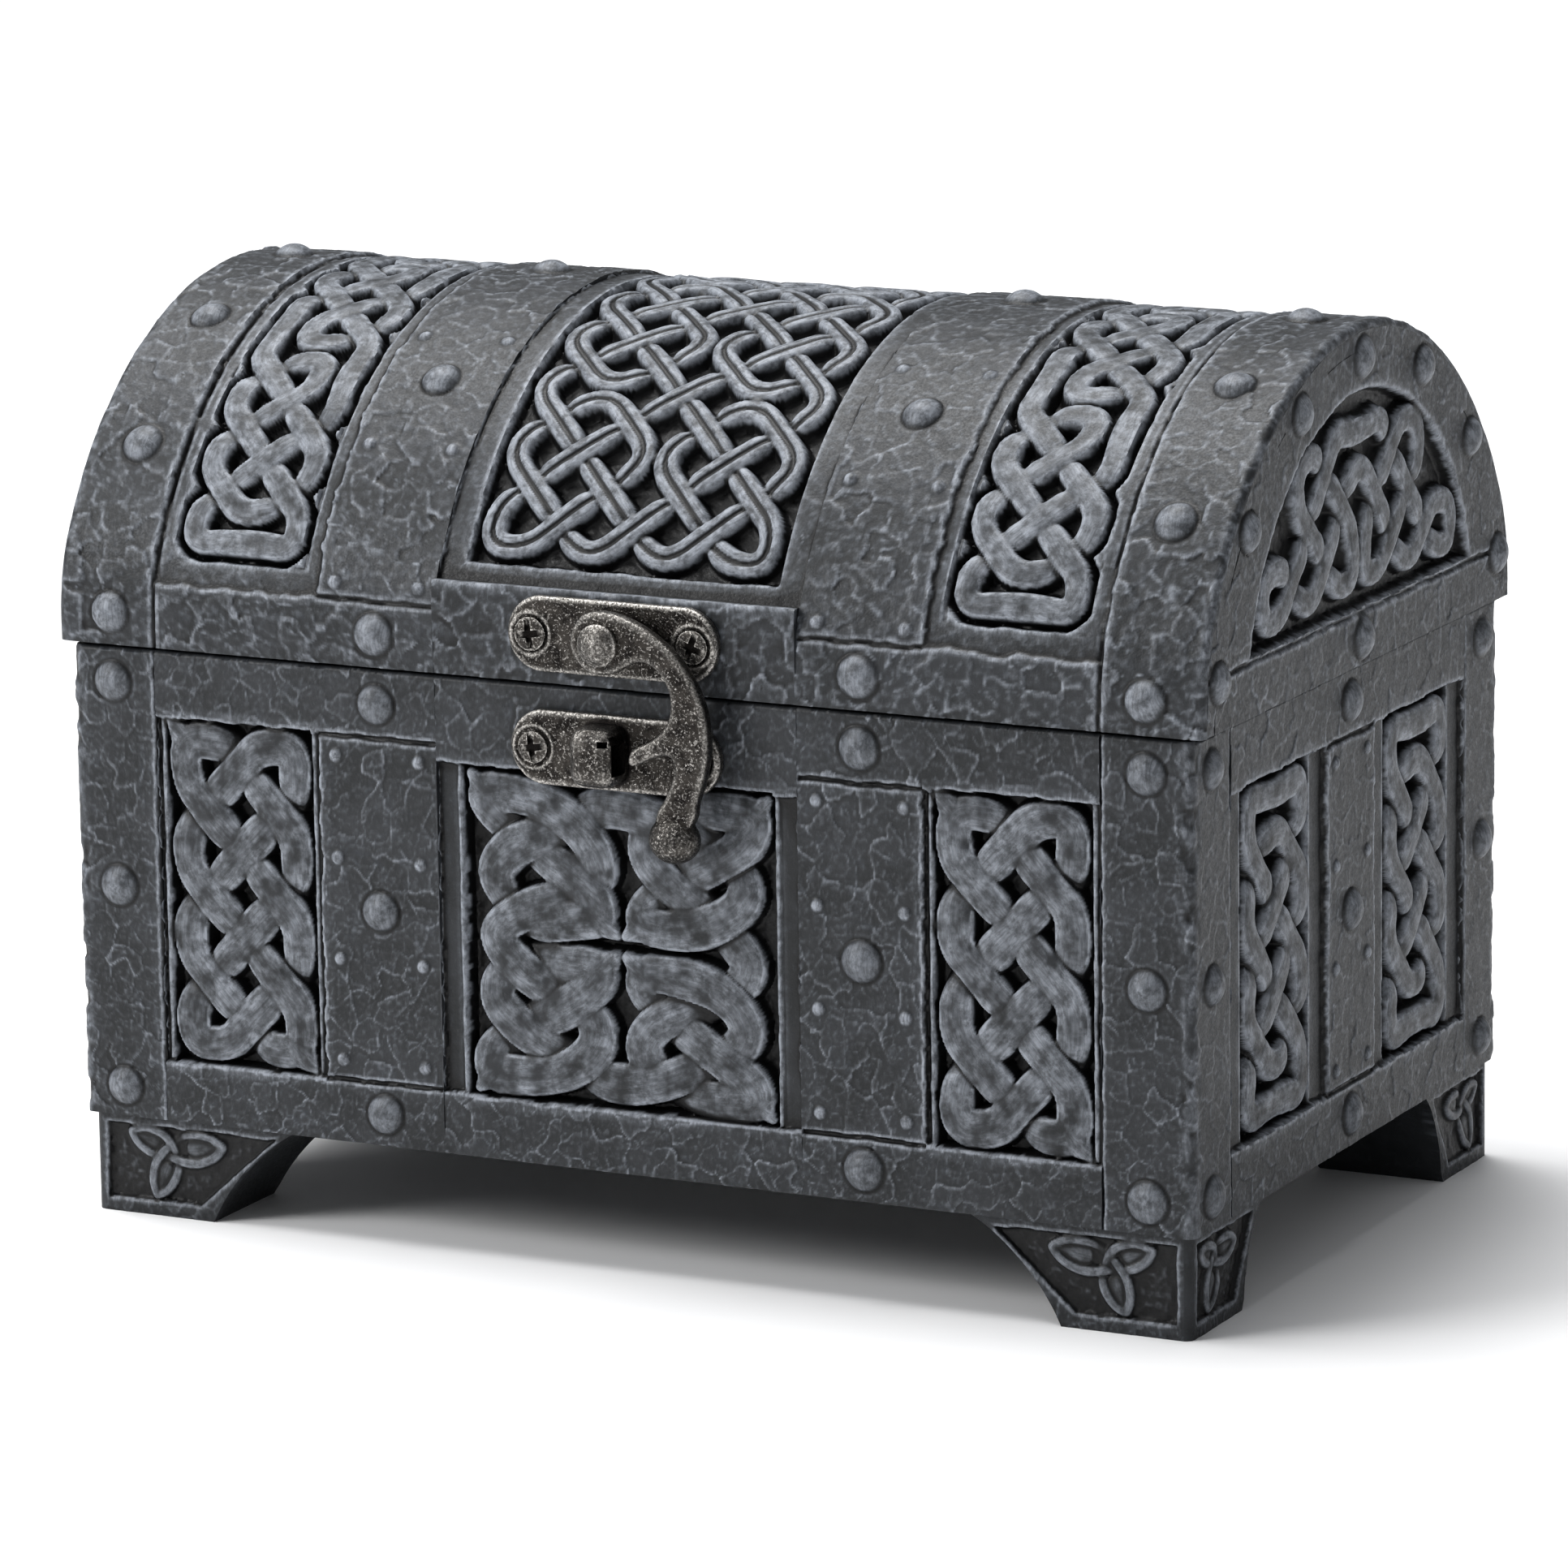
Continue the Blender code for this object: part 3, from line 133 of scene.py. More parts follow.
def newCanvas(lowA, highA, lowB, highB, step):
    a = np.arange(lowA, highA + step, step)
    b = np.arange(lowB, highB + step, step)
    gridA, gridB = np.meshgrid(a, b)
    canvas = {"a": gridA, "b": gridB, "step": step}
    for layer in ("height", "plates", "pale", "dark", "grooves"):
        canvas[layer] = np.zeros_like(gridA)
    # on plain plate the brush runs up and down, a little askew
    canvas["along"] = gridB + 0.8 * cloud(gridA, gridB, 4.0, 61)
    canvas["across"] = gridA + 0.8 * cloud(gridA, gridB, 4.0, 67)
    canvas["nearest"] = np.full_like(gridA, 9.0)
    return canvas


def readCanvas(canvas, layer, a, b):
    values = canvas[layer]
    p = np.clip((a - canvas["a"][0, 0]) / canvas["step"], 0, values.shape[1] - 1.001)
    q = np.clip((b - canvas["b"][0, 0]) / canvas["step"], 0, values.shape[0] - 1.001)
    i, j = p.astype(int), q.astype(int)
    u, v = p - i, q - j
    low = values[j, i] * (1 - u) + values[j, i + 1] * u
    high = values[j + 1, i] * (1 - u) + values[j + 1, i + 1] * u
    return low * (1 - v) + high * v


def blurred(values, cells):
    # mean over a square, by running sums
    for axis in (0, 1):
        pads = [(0, 0), (0, 0)]
        pads[axis] = (cells + 1, cells)
        sums = np.cumsum(np.pad(values, pads, mode="edge"), axis=axis)
        span = 2 * cells + 1
        if axis == 0:
            values = (sums[span:] - sums[:-span]) / span
        else:
            values = (sums[:, span:] - sums[:, :-span]) / span
    return values


def inRectangle(canvas, lowA, highA, lowB, highB):
    a, b = canvas["a"], canvas["b"]
    return np.minimum(np.minimum(a - lowA, highA - a), np.minimum(b - lowB, highB - b))


def ragged(canvas, distance, seed, amount=0.28):
    # a region's edge, chipped and wavy as on worn plate
    a, b = canvas["a"], canvas["b"]
    return distance + amount * cloud(a, b, 2.2, seed) + amount * 0.5 * cloud(a, b, 0.8, seed + 5)


def sink(canvas, distance, depth, wall=0.3):
    share = smoothStep(distance / wall + 0.5)
    canvas["height"] += (-depth - canvas["height"]) * share


def engrave(canvas, distance, width, depth):
    canvas["height"] -= depth * smoothStep(1.5 - np.abs(distance) / (width / 2))


def castPlates(canvas, seed, where, paint=1.0, size=3.4, lift=0.07, tilt=0.025):
    # overlapping flat flakes, as hammered plate leaves them, with thin broken ridges between; the ridges are
    # marked for pale paint, partly dry-brush and partly painted highlight where light catches their edges
    a, b = canvas["a"], canvas["b"]
    for number, (cell, rise) in enumerate(((size, lift), (size * 0.45, lift * 0.3))):
        p = a + cell * 0.32 * cloud(a, b, cell * 0.8, seed + 3 + number)
        q = b + cell * 0.32 * cloud(a, b, cell * 0.8, seed + 7 + number)
        spotA, spotB, level, leanA, leanB = np.random.default_rng(seed + number).random((5, 64, 64))
        i, j = np.floor(p / cell).astype(int), np.floor(q / cell).astype(int)
        best, second = np.full_like(a, 1e9), np.full_like(a, 1e9)
        value = np.zeros_like(a)
        for stepA in (-1, 0, 1):
            for stepB in (-1, 0, 1):
                m, n = (i + stepA) % 64, (j + stepB) % 64
                offA = p - (i + stepA + spotA[m, n]) * cell
                offB = q - (j + stepB + spotB[m, n]) * cell
                far = offA ** 2 + offB ** 2
                closer = far < best
                second = np.where(closer, best, np.minimum(second, far))
                best = np.where(closer, far, best)
                here = (rise * (2 * level[m, n] - 1)
                        + tilt * rise / lift * ((leanA[m, n] - 0.5) * offA + (leanB[m, n] - 0.5) * offB))
                value = np.where(closer, here, value)
        border = np.sqrt(second) - np.sqrt(best)
        broken = smoothStep(0.25 + 1.6 * cloud(a, b, cell * 0.5, seed + 11 + number))
        ridge = smoothStep(1.1 - border / (0.3 - 0.08 * number)) * broken
        canvas["height"] += where * (value + 0.7 * rise * ridge)
        canvas["plates"] = np.maximum(canvas["plates"], paint * where * ridge * (1 - 0.25 * number))
    canvas["height"] += where * 0.02 * cloud(a, b, 0.7, seed + 13)


def stipple(canvas, where, seed):
    # punched floor behind the carving
    a, b = canvas["a"], canvas["b"]
    canvas["height"] += where * (0.1 * cloud(a, b, 0.75, seed) - 0.05)


def dome(canvas, a, b, radius, height, seed=0, groove=0.0):
    far = np.hypot(canvas["a"] - a, canvas["b"] - b)
    far = far * (1 + 0.035 * math.sin(seed * 1.7))
    ball = (radius ** 2 + height ** 2) / (2 * height)
    cap = height - ball + np.sqrt(np.maximum(ball ** 2 - far ** 2, 0))
    near = far < radius + 1.5
    level = float(np.median(canvas["height"][far < radius])) if (far < radius).any() else 0.0
    canvas["height"] -= groove * smoothStep(1 - np.abs(far - radius - 0.1) / 0.45)
    raised = np.where(far < radius, level + cap, -9)
    canvas["height"] = np.where(near, np.maximum(canvas["height"], raised), canvas["height"])
    canvas["plates"] *= np.where(far < radius + 0.3, 0.2, 1)
    swirl = cloud(canvas["a"], canvas["b"], 0.9, 71) * 2
    canvas["along"] = np.where(far < radius + 0.3, swirl, canvas["along"])
    grain = smoothStep(0.5 + 1.5 * cloud(canvas["a"], canvas["b"], 0.6, 3))
    canvas["pale"] += 0.3 * smoothStep(1.1 - far / (radius * 0.9)) * grain
    canvas["dark"] -= 0.3 * smoothStep(1.3 - np.abs(far - radius) / 1.4)


def dryBrushAndShade(canvas):
    # worn high spots take the pale dry-brushed paint; hollows take the black wash, and recesses are darkened
    # further as painted shade, the more the wider and deeper they are
    height, step = canvas["height"], canvas["step"]
    fine = height - blurred(height, max(1, round(0.4 / step)))
    broad = height - blurred(height, max(1, round(1.5 / step)))
    wide = height - blurred(height, max(1, round(4.0 / step)))
    canvas["wear"] = np.clip(0.9 * np.clip(fine / 0.1, 0, 1) + 0.25 * np.clip(broad / 0.6, 0, 1)
                             + canvas["pale"], 0, 1)
    # cavity: the black wash plus painted shade of recesses, from the fine, broad and wide hollows and the
    # drawn dark marks
    canvas["cavity"] = np.clip(0.4 * np.clip(-fine / 0.12, 0, 1) + 1.0 * np.clip(-broad / 0.7, 0, 1)
                               + 1.0 * np.clip(-wide / 1.4, 0, 1) + canvas["dark"], 0, 1)


# Interlace: strands follow a plait's grid and pass over and under each other in turn

def nextStops(point, way, columns, rows, breaks):
    stops = []
    while not stops or stops[-1][2]:
        point = (point[0] + way[0], point[1] + way[1])
        turn = breaks.get(point)
        if point[0] in (0, 2 * columns):
            turn = "upright"
        elif point[1] in (0, 2 * rows):
            turn = "level"
        stops.append((point, way, turn))
        way = (-way[0], way[1]) if turn == "upright" else (way[0], -way[1])
    return stops


def bendPoints(stops, cell, room):
    # where the centre line turns at a border or a break, which it keeps clear of
    pairs = []
    for (x, y), (dx, dy), turn in stops[:-1]:
        if turn == "upright":
            lean = room * cell[1] / cell[0]
            before = (x * cell[0] - dx * room, y * cell[1] - dy * lean)
            after = (before[0], y * cell[1] + dy * lean)
        else:
            lean = room * cell[0] / cell[1]
            before = (x * cell[0] - dx * lean, y * cell[1] - dy * room)
            after = (x * cell[0] + dx * lean, before[1])
        pairs.append((before, after, turn))
    points = [pairs[0][0]] if pairs else []
    for (_, left, turn), (entered, _, nextTurn) in zip(pairs, pairs[1:]):
        if turn == nextTurn:
            points.append(((left[0] + entered[0]) / 2, (left[1] + entered[1]) / 2))
        elif turn == "upright":
            points.append((left[0], entered[1]))
        else:
            points.append((entered[0], left[1]))
    return points + ([pairs[-1][1]] if pairs else [])


def knotLines(width, height, columns, rows, breaks, strand, within=None):
    # closed centre lines of every strand of the plait, and the places where they cross
    cell = (width / columns / 2, height / rows / 2)
    crossings = [(x, y) for x in range(1, 2 * columns) for y in range(1, 2 * rows)
                 if (x + y) % 2 and (x, y) not in breaks and (within is None or within(x, y))]
    seen, lines = set(), []
    for start in crossings:
        for first in ((1, 1), (1, -1)):
            if (start, first[0] * first[1]) in seen:
                continue
            point, way, line = start, first, []
            while (point, way[0] * way[1]) not in seen:
                seen.add((point, way[0] * way[1]))
                line.append((point[0] * cell[0], point[1] * cell[1]))
                stops = nextStops(point, way, columns, rows, breaks)
                line += bendPoints(stops, cell, strand / 2 + 0.15)
                point, way = stops[-1][0], stops[-1][1]
            lines.append(np.array(line) - (width / 2, height / 2))
    places = np.array([(x * cell[0] - width / 2, y * cell[1] - height / 2) for x, y in crossings])
    kinds = np.array([x % 2 == 0 for x, y in crossings])
    return lines, places, kinds


def rounded(line, passes=3, spacing=0.35):
    # a closed line's corners cut, then even steps
    for _ in range(passes):
        after = np.roll(line, -1, axis=0)
        pairs = np.stack([0.75 * line + 0.25 * after, 0.25 * line + 0.75 * after], axis=1)
        line = pairs.reshape(-1, line.shape[1])
    line = np.vstack([line, line[:1]])
    steps = np.hypot(*np.diff(line[:, :2], axis=0).T)
    reach = np.concatenate([[0], np.cumsum(steps)])
    even = np.linspace(0, reach[-1], max(4, int(reach[-1] / spacing)))
    return np.stack([np.interp(even, reach, column) for column in line.T], axis=1), even


def layStrand(canvas, points, reach, levels, style, seed, widths=None):
    # raise the strand's flat-topped section along its line, keeping what lies higher
    step, height = canvas["step"], canvas["height"]
    a, b = canvas["a"][0], canvas["b"][:, 0]
    halves = np.full(len(points), style["width"] / 2) if widths is None else np.asarray(widths) / 2
    margin = halves.max() + 2.2
    for index in range(len(points) - 1):
        start, end = points[index], points[index + 1]
        low, high = np.minimum(start, end) - margin, np.maximum(start, end) + margin
        i0 = max(int((low[0] - a[0]) / step), 0)
        i1 = min(int((high[0] - a[0]) / step) + 2, len(a))
        j0 = max(int((low[1] - b[0]) / step), 0)
        j1 = min(int((high[1] - b[0]) / step) + 2, len(b))
        if i0 >= i1 or j0 >= j1:
            continue
        window = (slice(j0, j1), slice(i0, i1))
        run = end - start
        length = max(math.hypot(*run), 1e-6)
        offA, offB = a[i0:i1][None, :] - start[0], b[j0:j1][:, None] - start[1]
        share = np.clip((offA * run[0] + offB * run[1]) / length ** 2, 0, 1)
        far = np.hypot(offA - share * run[0], offB - share * run[1])
        aside = (offB * run[0] - offA * run[1]) / length
        along = reach[index] + share * length
        here = halves[index] * (1 - share) + halves[index + 1] * share
        here = here * (1 + 0.05 * math.sin(reach[index] / 2.3 + seed))
        level = levels[index] * (1 - share) + levels[index + 1] * share
        inside = np.minimum(far / here, 1)
        value = level - style["crown"] * inside ** style["roundness"]
        value = value - np.maximum(far - here, 0) * style["flank"]
        higher = value > height[window]
        height[window] = np.where(higher, value, height[window])
        onTop = higher & (far < here * 1.1)
        canvas["along"][window] = np.where(onTop, along + 40 * seed, canvas["along"][window])
        canvas["across"][window] = np.where(onTop, aside, canvas["across"][window])
        canvas["grooves"][window] = np.where(onTop, style.get("groove", 0), canvas["grooves"][window])
        canvas["nearest"][window] = np.minimum(canvas["nearest"][window], far - here)


def layKnot(canvas, middle, size, grid, breaks, slashOver, style, seed, mirror=1, within=None, bend=0.0):
    columns, rows = grid
    lines, places, kinds = knotLines(size[0], size[1], columns, rows, breaks, style["width"], within)
    for number, line in enumerate(lines):
        points, reach = rounded(line)
        way = np.gradient(points, axis=0)
        slash = way[:, 0] * way[:, 1] > 0
        far = np.hypot(points[:, None, 0] - places[None, :, 0], points[:, None, 1] - places[None, :, 1])
        over = slash[:, None] == (kinds[None, :] == slashOver)
        toOver = np.where(over, far, 99.0).min(axis=1)
        toUnder = np.where(over, 99.0, far).min(axis=1)
        dive = smoothStep((toOver / (toOver + toUnder) - 0.42) / 0.45)
        dive = dive * smoothStep((1.3 - toUnder / style["width"]) / 0.65)
        levels = style["top"] - style["dip"] * dive
        levels = levels + style["wave"] * cloud(reach, reach * 0 + seed, 5.0, seed + number)
        drop = bend * (points[:, 0] / size[0]) ** 2 * (points[:, 1] + size[1] / 2)
        shifted = np.stack([points[:, 0] * mirror, points[:, 1] - drop], axis=1) + middle
        layStrand(canvas, shifted, reach, levels, style, seed + number)


def layLine(canvas, corners, style, seed):
    # one closed strand drawn through its listed points: across, up, and how far it dips under another
    points, reach = rounded(np.array(corners, float), spacing=0.35 * style["width"] / 4)
    levels = style["top"] - style["dip"] * points[:, 2]
    levels = levels + style["wave"] * cloud(reach, reach * 0 + seed, 5.0, seed)
    layStrand(canvas, points[:, :2], reach, levels, style, seed)


def layTip(canvas, start, end, style, widths):
    # a tapered stroke, for pointed corners
    share = np.linspace(0, 1, 8)[:, None]
    points = np.array(start) + (np.array(end) - np.array(start)) * share
    reach = share[:, 0] * float(np.hypot(*(np.array(end) - np.array(start))))
    level = np.full(len(share), style["top"])
    layStrand(canvas, points, reach, level, style, 1, widths[0] + (widths[1] - widths[0]) * share[:, 0])


def brushStrands(canvas, seed, amount=0.015, paint=1.0):
    # long tool marks that run with each strand, pale along its crown,
    # and a groove down its middle where its style has one
    on = canvas["nearest"] < 0
    across = canvas["across"]
    marks = cloud(canvas["along"] / 1.6, across / 0.7, 1.0, seed, 2)
    blotches = cloud(canvas["a"], canvas["b"], 2.2, seed + 1, 3)
    crown = smoothStep(-canvas["nearest"] / 1.2)
    groove = on * canvas["grooves"] * smoothStep(1.6 - np.abs(across) / 0.28)
    canvas["height"] += on * (amount * marks + 0.04 * blotches) - groove
    canvas["pale"] += paint * on * (0.08 + 0.16 * crown + 0.08 * marks + 0.38 * blotches) - groove
    canvas["dark"] += 1.5 * groove


strandStyle = {"width": 4.5, "crown": 0.35, "roundness": 3.0, "flank": 5.0, "top": -0.3,
               "dip": 1.5, "wave": 0.08}

# The middle knot is one closed strand: across and down in eighths of the panel, then 1 where it dips
middleKnot = (
    (0.5, 1.0, 0), (1.1, 0.98, 0), (2.0, 1.1, 0), (2.9, 1.55, 0), (3.4, 2.15, 0), (3.5, 2.65, 0.2),
    (3.1, 3.1, 1.2), (2.5, 3.35, 0.2), (1.5, 3.65, 0), (0.8, 4.1, 0), (0.8, 4.5, 0), (1.4, 5.05, 0),
    (2.1, 5.45, 0.2), (2.7, 5.75, 1.2), (3.3, 6.05, 0.2), (3.4, 6.6, 0), (2.9, 7.1, 0), (2.1, 7.45, 0),
    (1.2, 7.5, 0), (0.6, 7.5, 0), (0.55, 7.0, 0.2), (1.15, 6.5, 1.2), (1.9, 6.1, 0.2), (2.6, 5.8, 0),
    (3.2, 5.35, 0), (3.55, 4.9, 0), (3.2, 4.78, 0), (2.4, 4.85, 0.2), (1.3, 4.9, 1.2), (0.75, 5.3, 0.2),
    (0.75, 5.85, 0), (1.3, 6.35, 0), (2.0, 6.75, 0.2), (2.7, 7.05, 1.2), (3.5, 7.42, 0.2), (4.2, 7.45, 0),
    (5.0, 7.3, 0), (5.7, 7.0, 0.2), (6.4, 6.7, 1.2), (7.1, 6.25, 0.2), (7.25, 5.8, 0), (6.9, 5.3, 0),
    (6.2, 4.95, 0), (5.4, 4.82, 0), (4.6, 4.8, 0), (4.5, 5.2, 0.2), (5.0, 5.75, 1.2), (5.8, 6.2, 0.2),
    (6.6, 6.65, 0), (7.3, 7.1, 0), (7.5, 7.5, 0), (6.9, 7.55, 0), (6.1, 7.6, 0.2), (5.3, 7.4, 1.2),
    (4.7, 7.0, 0.2), (4.5, 6.5, 0), (4.8, 6.0, 0), (5.5, 5.65, 0.2), (6.3, 5.3, 1.2), (7.1, 4.85, 0.3),
    (7.3, 4.45, 0.2), (7.0, 4.05, 0.4), (6.4, 3.6, 1.2), (5.9, 3.15, 0.2), (5.3, 2.8, 0), (4.75, 2.3, 0),
    (4.65, 1.75, 0.2), (5.15, 1.2, 1.2), (6.0, 0.95, 0.2), (6.9, 0.95, 0), (7.5, 1.0, 0), (7.35, 1.55, 0),
    (6.8, 2.0, 0), (6.0, 2.4, 0.2), (5.3, 2.85, 1.2), (4.65, 3.3, 0.2), (4.55, 3.72, 0), (5.2, 3.8, 0),
    (6.1, 3.7, 0), (6.9, 3.3, 0), (7.3, 2.75, 0.2), (6.8, 2.1, 1.2), (6.0, 1.65, 0.2), (5.2, 1.3, 0),
    (4.4, 1.15, 0), (3.5, 1.1, 0.2), (2.75, 1.5, 1.2), (2.2, 1.85, 0.2), (1.4, 2.1, 0), (0.8, 2.6, 0),
    (0.75, 3.1, 0.2), (1.2, 3.75, 1.2), (1.9, 3.9, 0.2), (2.7, 3.78, 0), (3.5, 3.7, 0), (3.4, 3.25, 0),
    (2.8, 2.8, 0), (2.1, 2.4, 0.2), (1.35, 2.05, 1.2), (0.75, 1.5, 0.2))
knotTips = (((0.7, 1.15), (0.2, 0.6)), ((0.7, 7.4), (0.25, 7.85)), ((7.3, 1.1), (7.85, 0.6)),
            ((7.3, 7.35), (7.85, 7.85)), ((3.4, 3.65), (3.9, 4.02)), ((3.4, 4.9), (3.9, 4.5)),
            ((4.7, 3.7), (4.15, 4.02)), ((4.7, 4.9), (4.15, 4.5)))


def onPanel(points, size, middle):
    # eighths of the panel, down from its top left corner, to millimetres
    points = np.array(points, float)
    points[:, 0] = (points[:, 0] - 4) * size[0] / 8
    points[:, 1] = (4 - points[:, 1]) * size[1] / 8 + middle
    return points


# Skins: a relief face with its edges turned in and a plain back, closed all round

def deselect():
    bpy.ops.object.select_all(action="DESELECT")


def finishPiece(piece, name, body, material, nodes=()):
    piece.name = name
    piece.data.name = name
    piece.data.materials.clear()
    piece.data.materials.append(material)
    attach(piece, body)
    if nodes:
        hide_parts(*nodes)
    return piece


drawnLayers = ("wear", "cavity", "plates", "along", "across")


def sweptSkin(name, points, layers, body, node, smooth=50):
    # points[row, station]: rows run round the section, stations along the piece
    rows, stations = points.shape[:2]
    deselect()
    bpy.ops.mesh.primitive_grid_add(x_subdivisions=stations - 1, y_subdivisions=rows, size=mm)
    piece = bpy.context.active_object
    ring = np.concatenate([points, points[:1]])
    piece.data.vertices.foreach_set("co", ring.reshape(-1).astype(np.float32))
    for layer, values in layers.items():
        drawn = np.zeros(ring.shape[:2], np.float32)
        drawn[:values.shape[0]] = values
        if layer in ("along", "across"):
            drawn[values.shape[0]:] = values[-1]     # no streaks on the turned edges
        drawn[-1] = drawn[0]
        piece.data.attributes.new(layer, "FLOAT", "POINT").data.foreach_set("value", drawn.reshape(-1))
    bpy.ops.object.mode_set(mode="EDIT")
    bpy.ops.mesh.select_all(action="SELECT")
    bpy.ops.mesh.remove_doubles(threshold=1e-6)
    bpy.ops.mesh.select_all(action="DESELECT")
    bpy.ops.mesh.select_non_manifold(extend=False, use_wire=False, use_multi_face=False,
                                     use_non_contiguous=False, use_verts=False)
    bpy.ops.mesh.edge_face_add()
    bpy.ops.mesh.select_all(action="SELECT")
    bpy.ops.mesh.normals_make_consistent(inside=False)
    bpy.ops.object.mode_set(mode="OBJECT")
    bpy.ops.object.shade_smooth_by_angle(angle=math.radians(smooth))
    return finishPiece(piece, name, body, resin, (node,))


def reliefSkin(name, canvas, stations, rows, closing, place, body, node):
    # rows follow the canvas, then closing gives the (row, lift) pairs of the turned edge and back
    dryBrushAndShade(canvas)
    gridA, gridB = np.meshgrid(stations, rows)
    lines = [place(gridA, gridB, readCanvas(canvas, "height", gridA, gridB))]
    for row, lift in closing:
        flat = np.full((1, len(stations)), 1.0)
        lines.append(place(stations[None, :], flat * row, flat * lift))
    layers = {layer: readCanvas(canvas, layer, gridA, gridB) for layer in drawnLayers}
    return sweptSkin(name, np.concatenate(lines), layers, body, node)


def spread(low, high, step):
    return np.linspace(low, high, max(2, round((high - low) / step) + 1))


# Materials

def linear(code):
    values = [int(code[i:i + 2], 16) / 255 for i in (1, 3, 5)]
    return tuple(v / 12.92 if v <= 0.04045 else ((v + 0.055) / 1.055) ** 2.4 for v in values) + (1.0,)


def addNode(material, kind, settings=None, links=None):
    # one node with its settings and what feeds its sockets
    node = material.node_tree.nodes.new(kind)
    for name, value in (settings or {}).items():
        if name in node.inputs:
            node.inputs[name].default_value = value
        else:
            setattr(node, name, value)
    for name, source in (links or {}).items():
        material.node_tree.links.new(source, node.inputs[name])
    return node


def newMaterial(name):
    material = bpy.data.materials.new(name)
    material.use_nodes = True
    material.node_tree.nodes.clear()
    coords = addNode(material, "ShaderNodeTexCoord")
    scaled = addNode(material, "ShaderNodeVectorMath", {"operation": "SCALE", "Scale": 1000.0},
                     {0: coords.outputs["Object"]})
    return material, scaled.outputs[0]


def blendColour(material, share, low, high):
    node = addNode(material, "ShaderNodeMix", {"data_type": "RGBA"})
    links = material.node_tree.links
    if isinstance(share, float):
        node.inputs[0].default_value = share
    else:
        links.new(share, node.inputs[0])
    for socket, value in ((6, low), (7, high)):
        if isinstance(value, str):
            node.inputs[socket].default_value = linear(value)
        else:
            links.new(value, node.inputs[socket])
    return node.outputs[2]


def mapped(material, source, low, high, toLow=0.0, toHigh=1.0):
    node = addNode(material, "ShaderNodeMapRange",
                   {"From Min": low, "From Max": high, "To Min": toLow, "To Max": toHigh,
                    "interpolation_type": "SMOOTHSTEP"}, {"Value": source})
    return node.outputs[0]


def calculated(material, operation, first, second):
    node = addNode(material, "ShaderNodeMath", {"operation": operation})
    for socket, value in ((0, first), (1, second)):
        if isinstance(value, (int, float)):
            node.inputs[socket].default_value = value
        else:
            material.node_tree.links.new(value, node.inputs[socket])
    return node.outputs[0]


# deep is the near-black of the hollows: black wash, and painted shade where recesses fall into shadow
resinLook = {"deep": "#050506", "dark": "#181a1c", "body": "#25272a", "blue": "#30343a",
             "brushed": "#8d929a", "ridge": "#646970", "roughness": 0.47, "specular": 0.27}


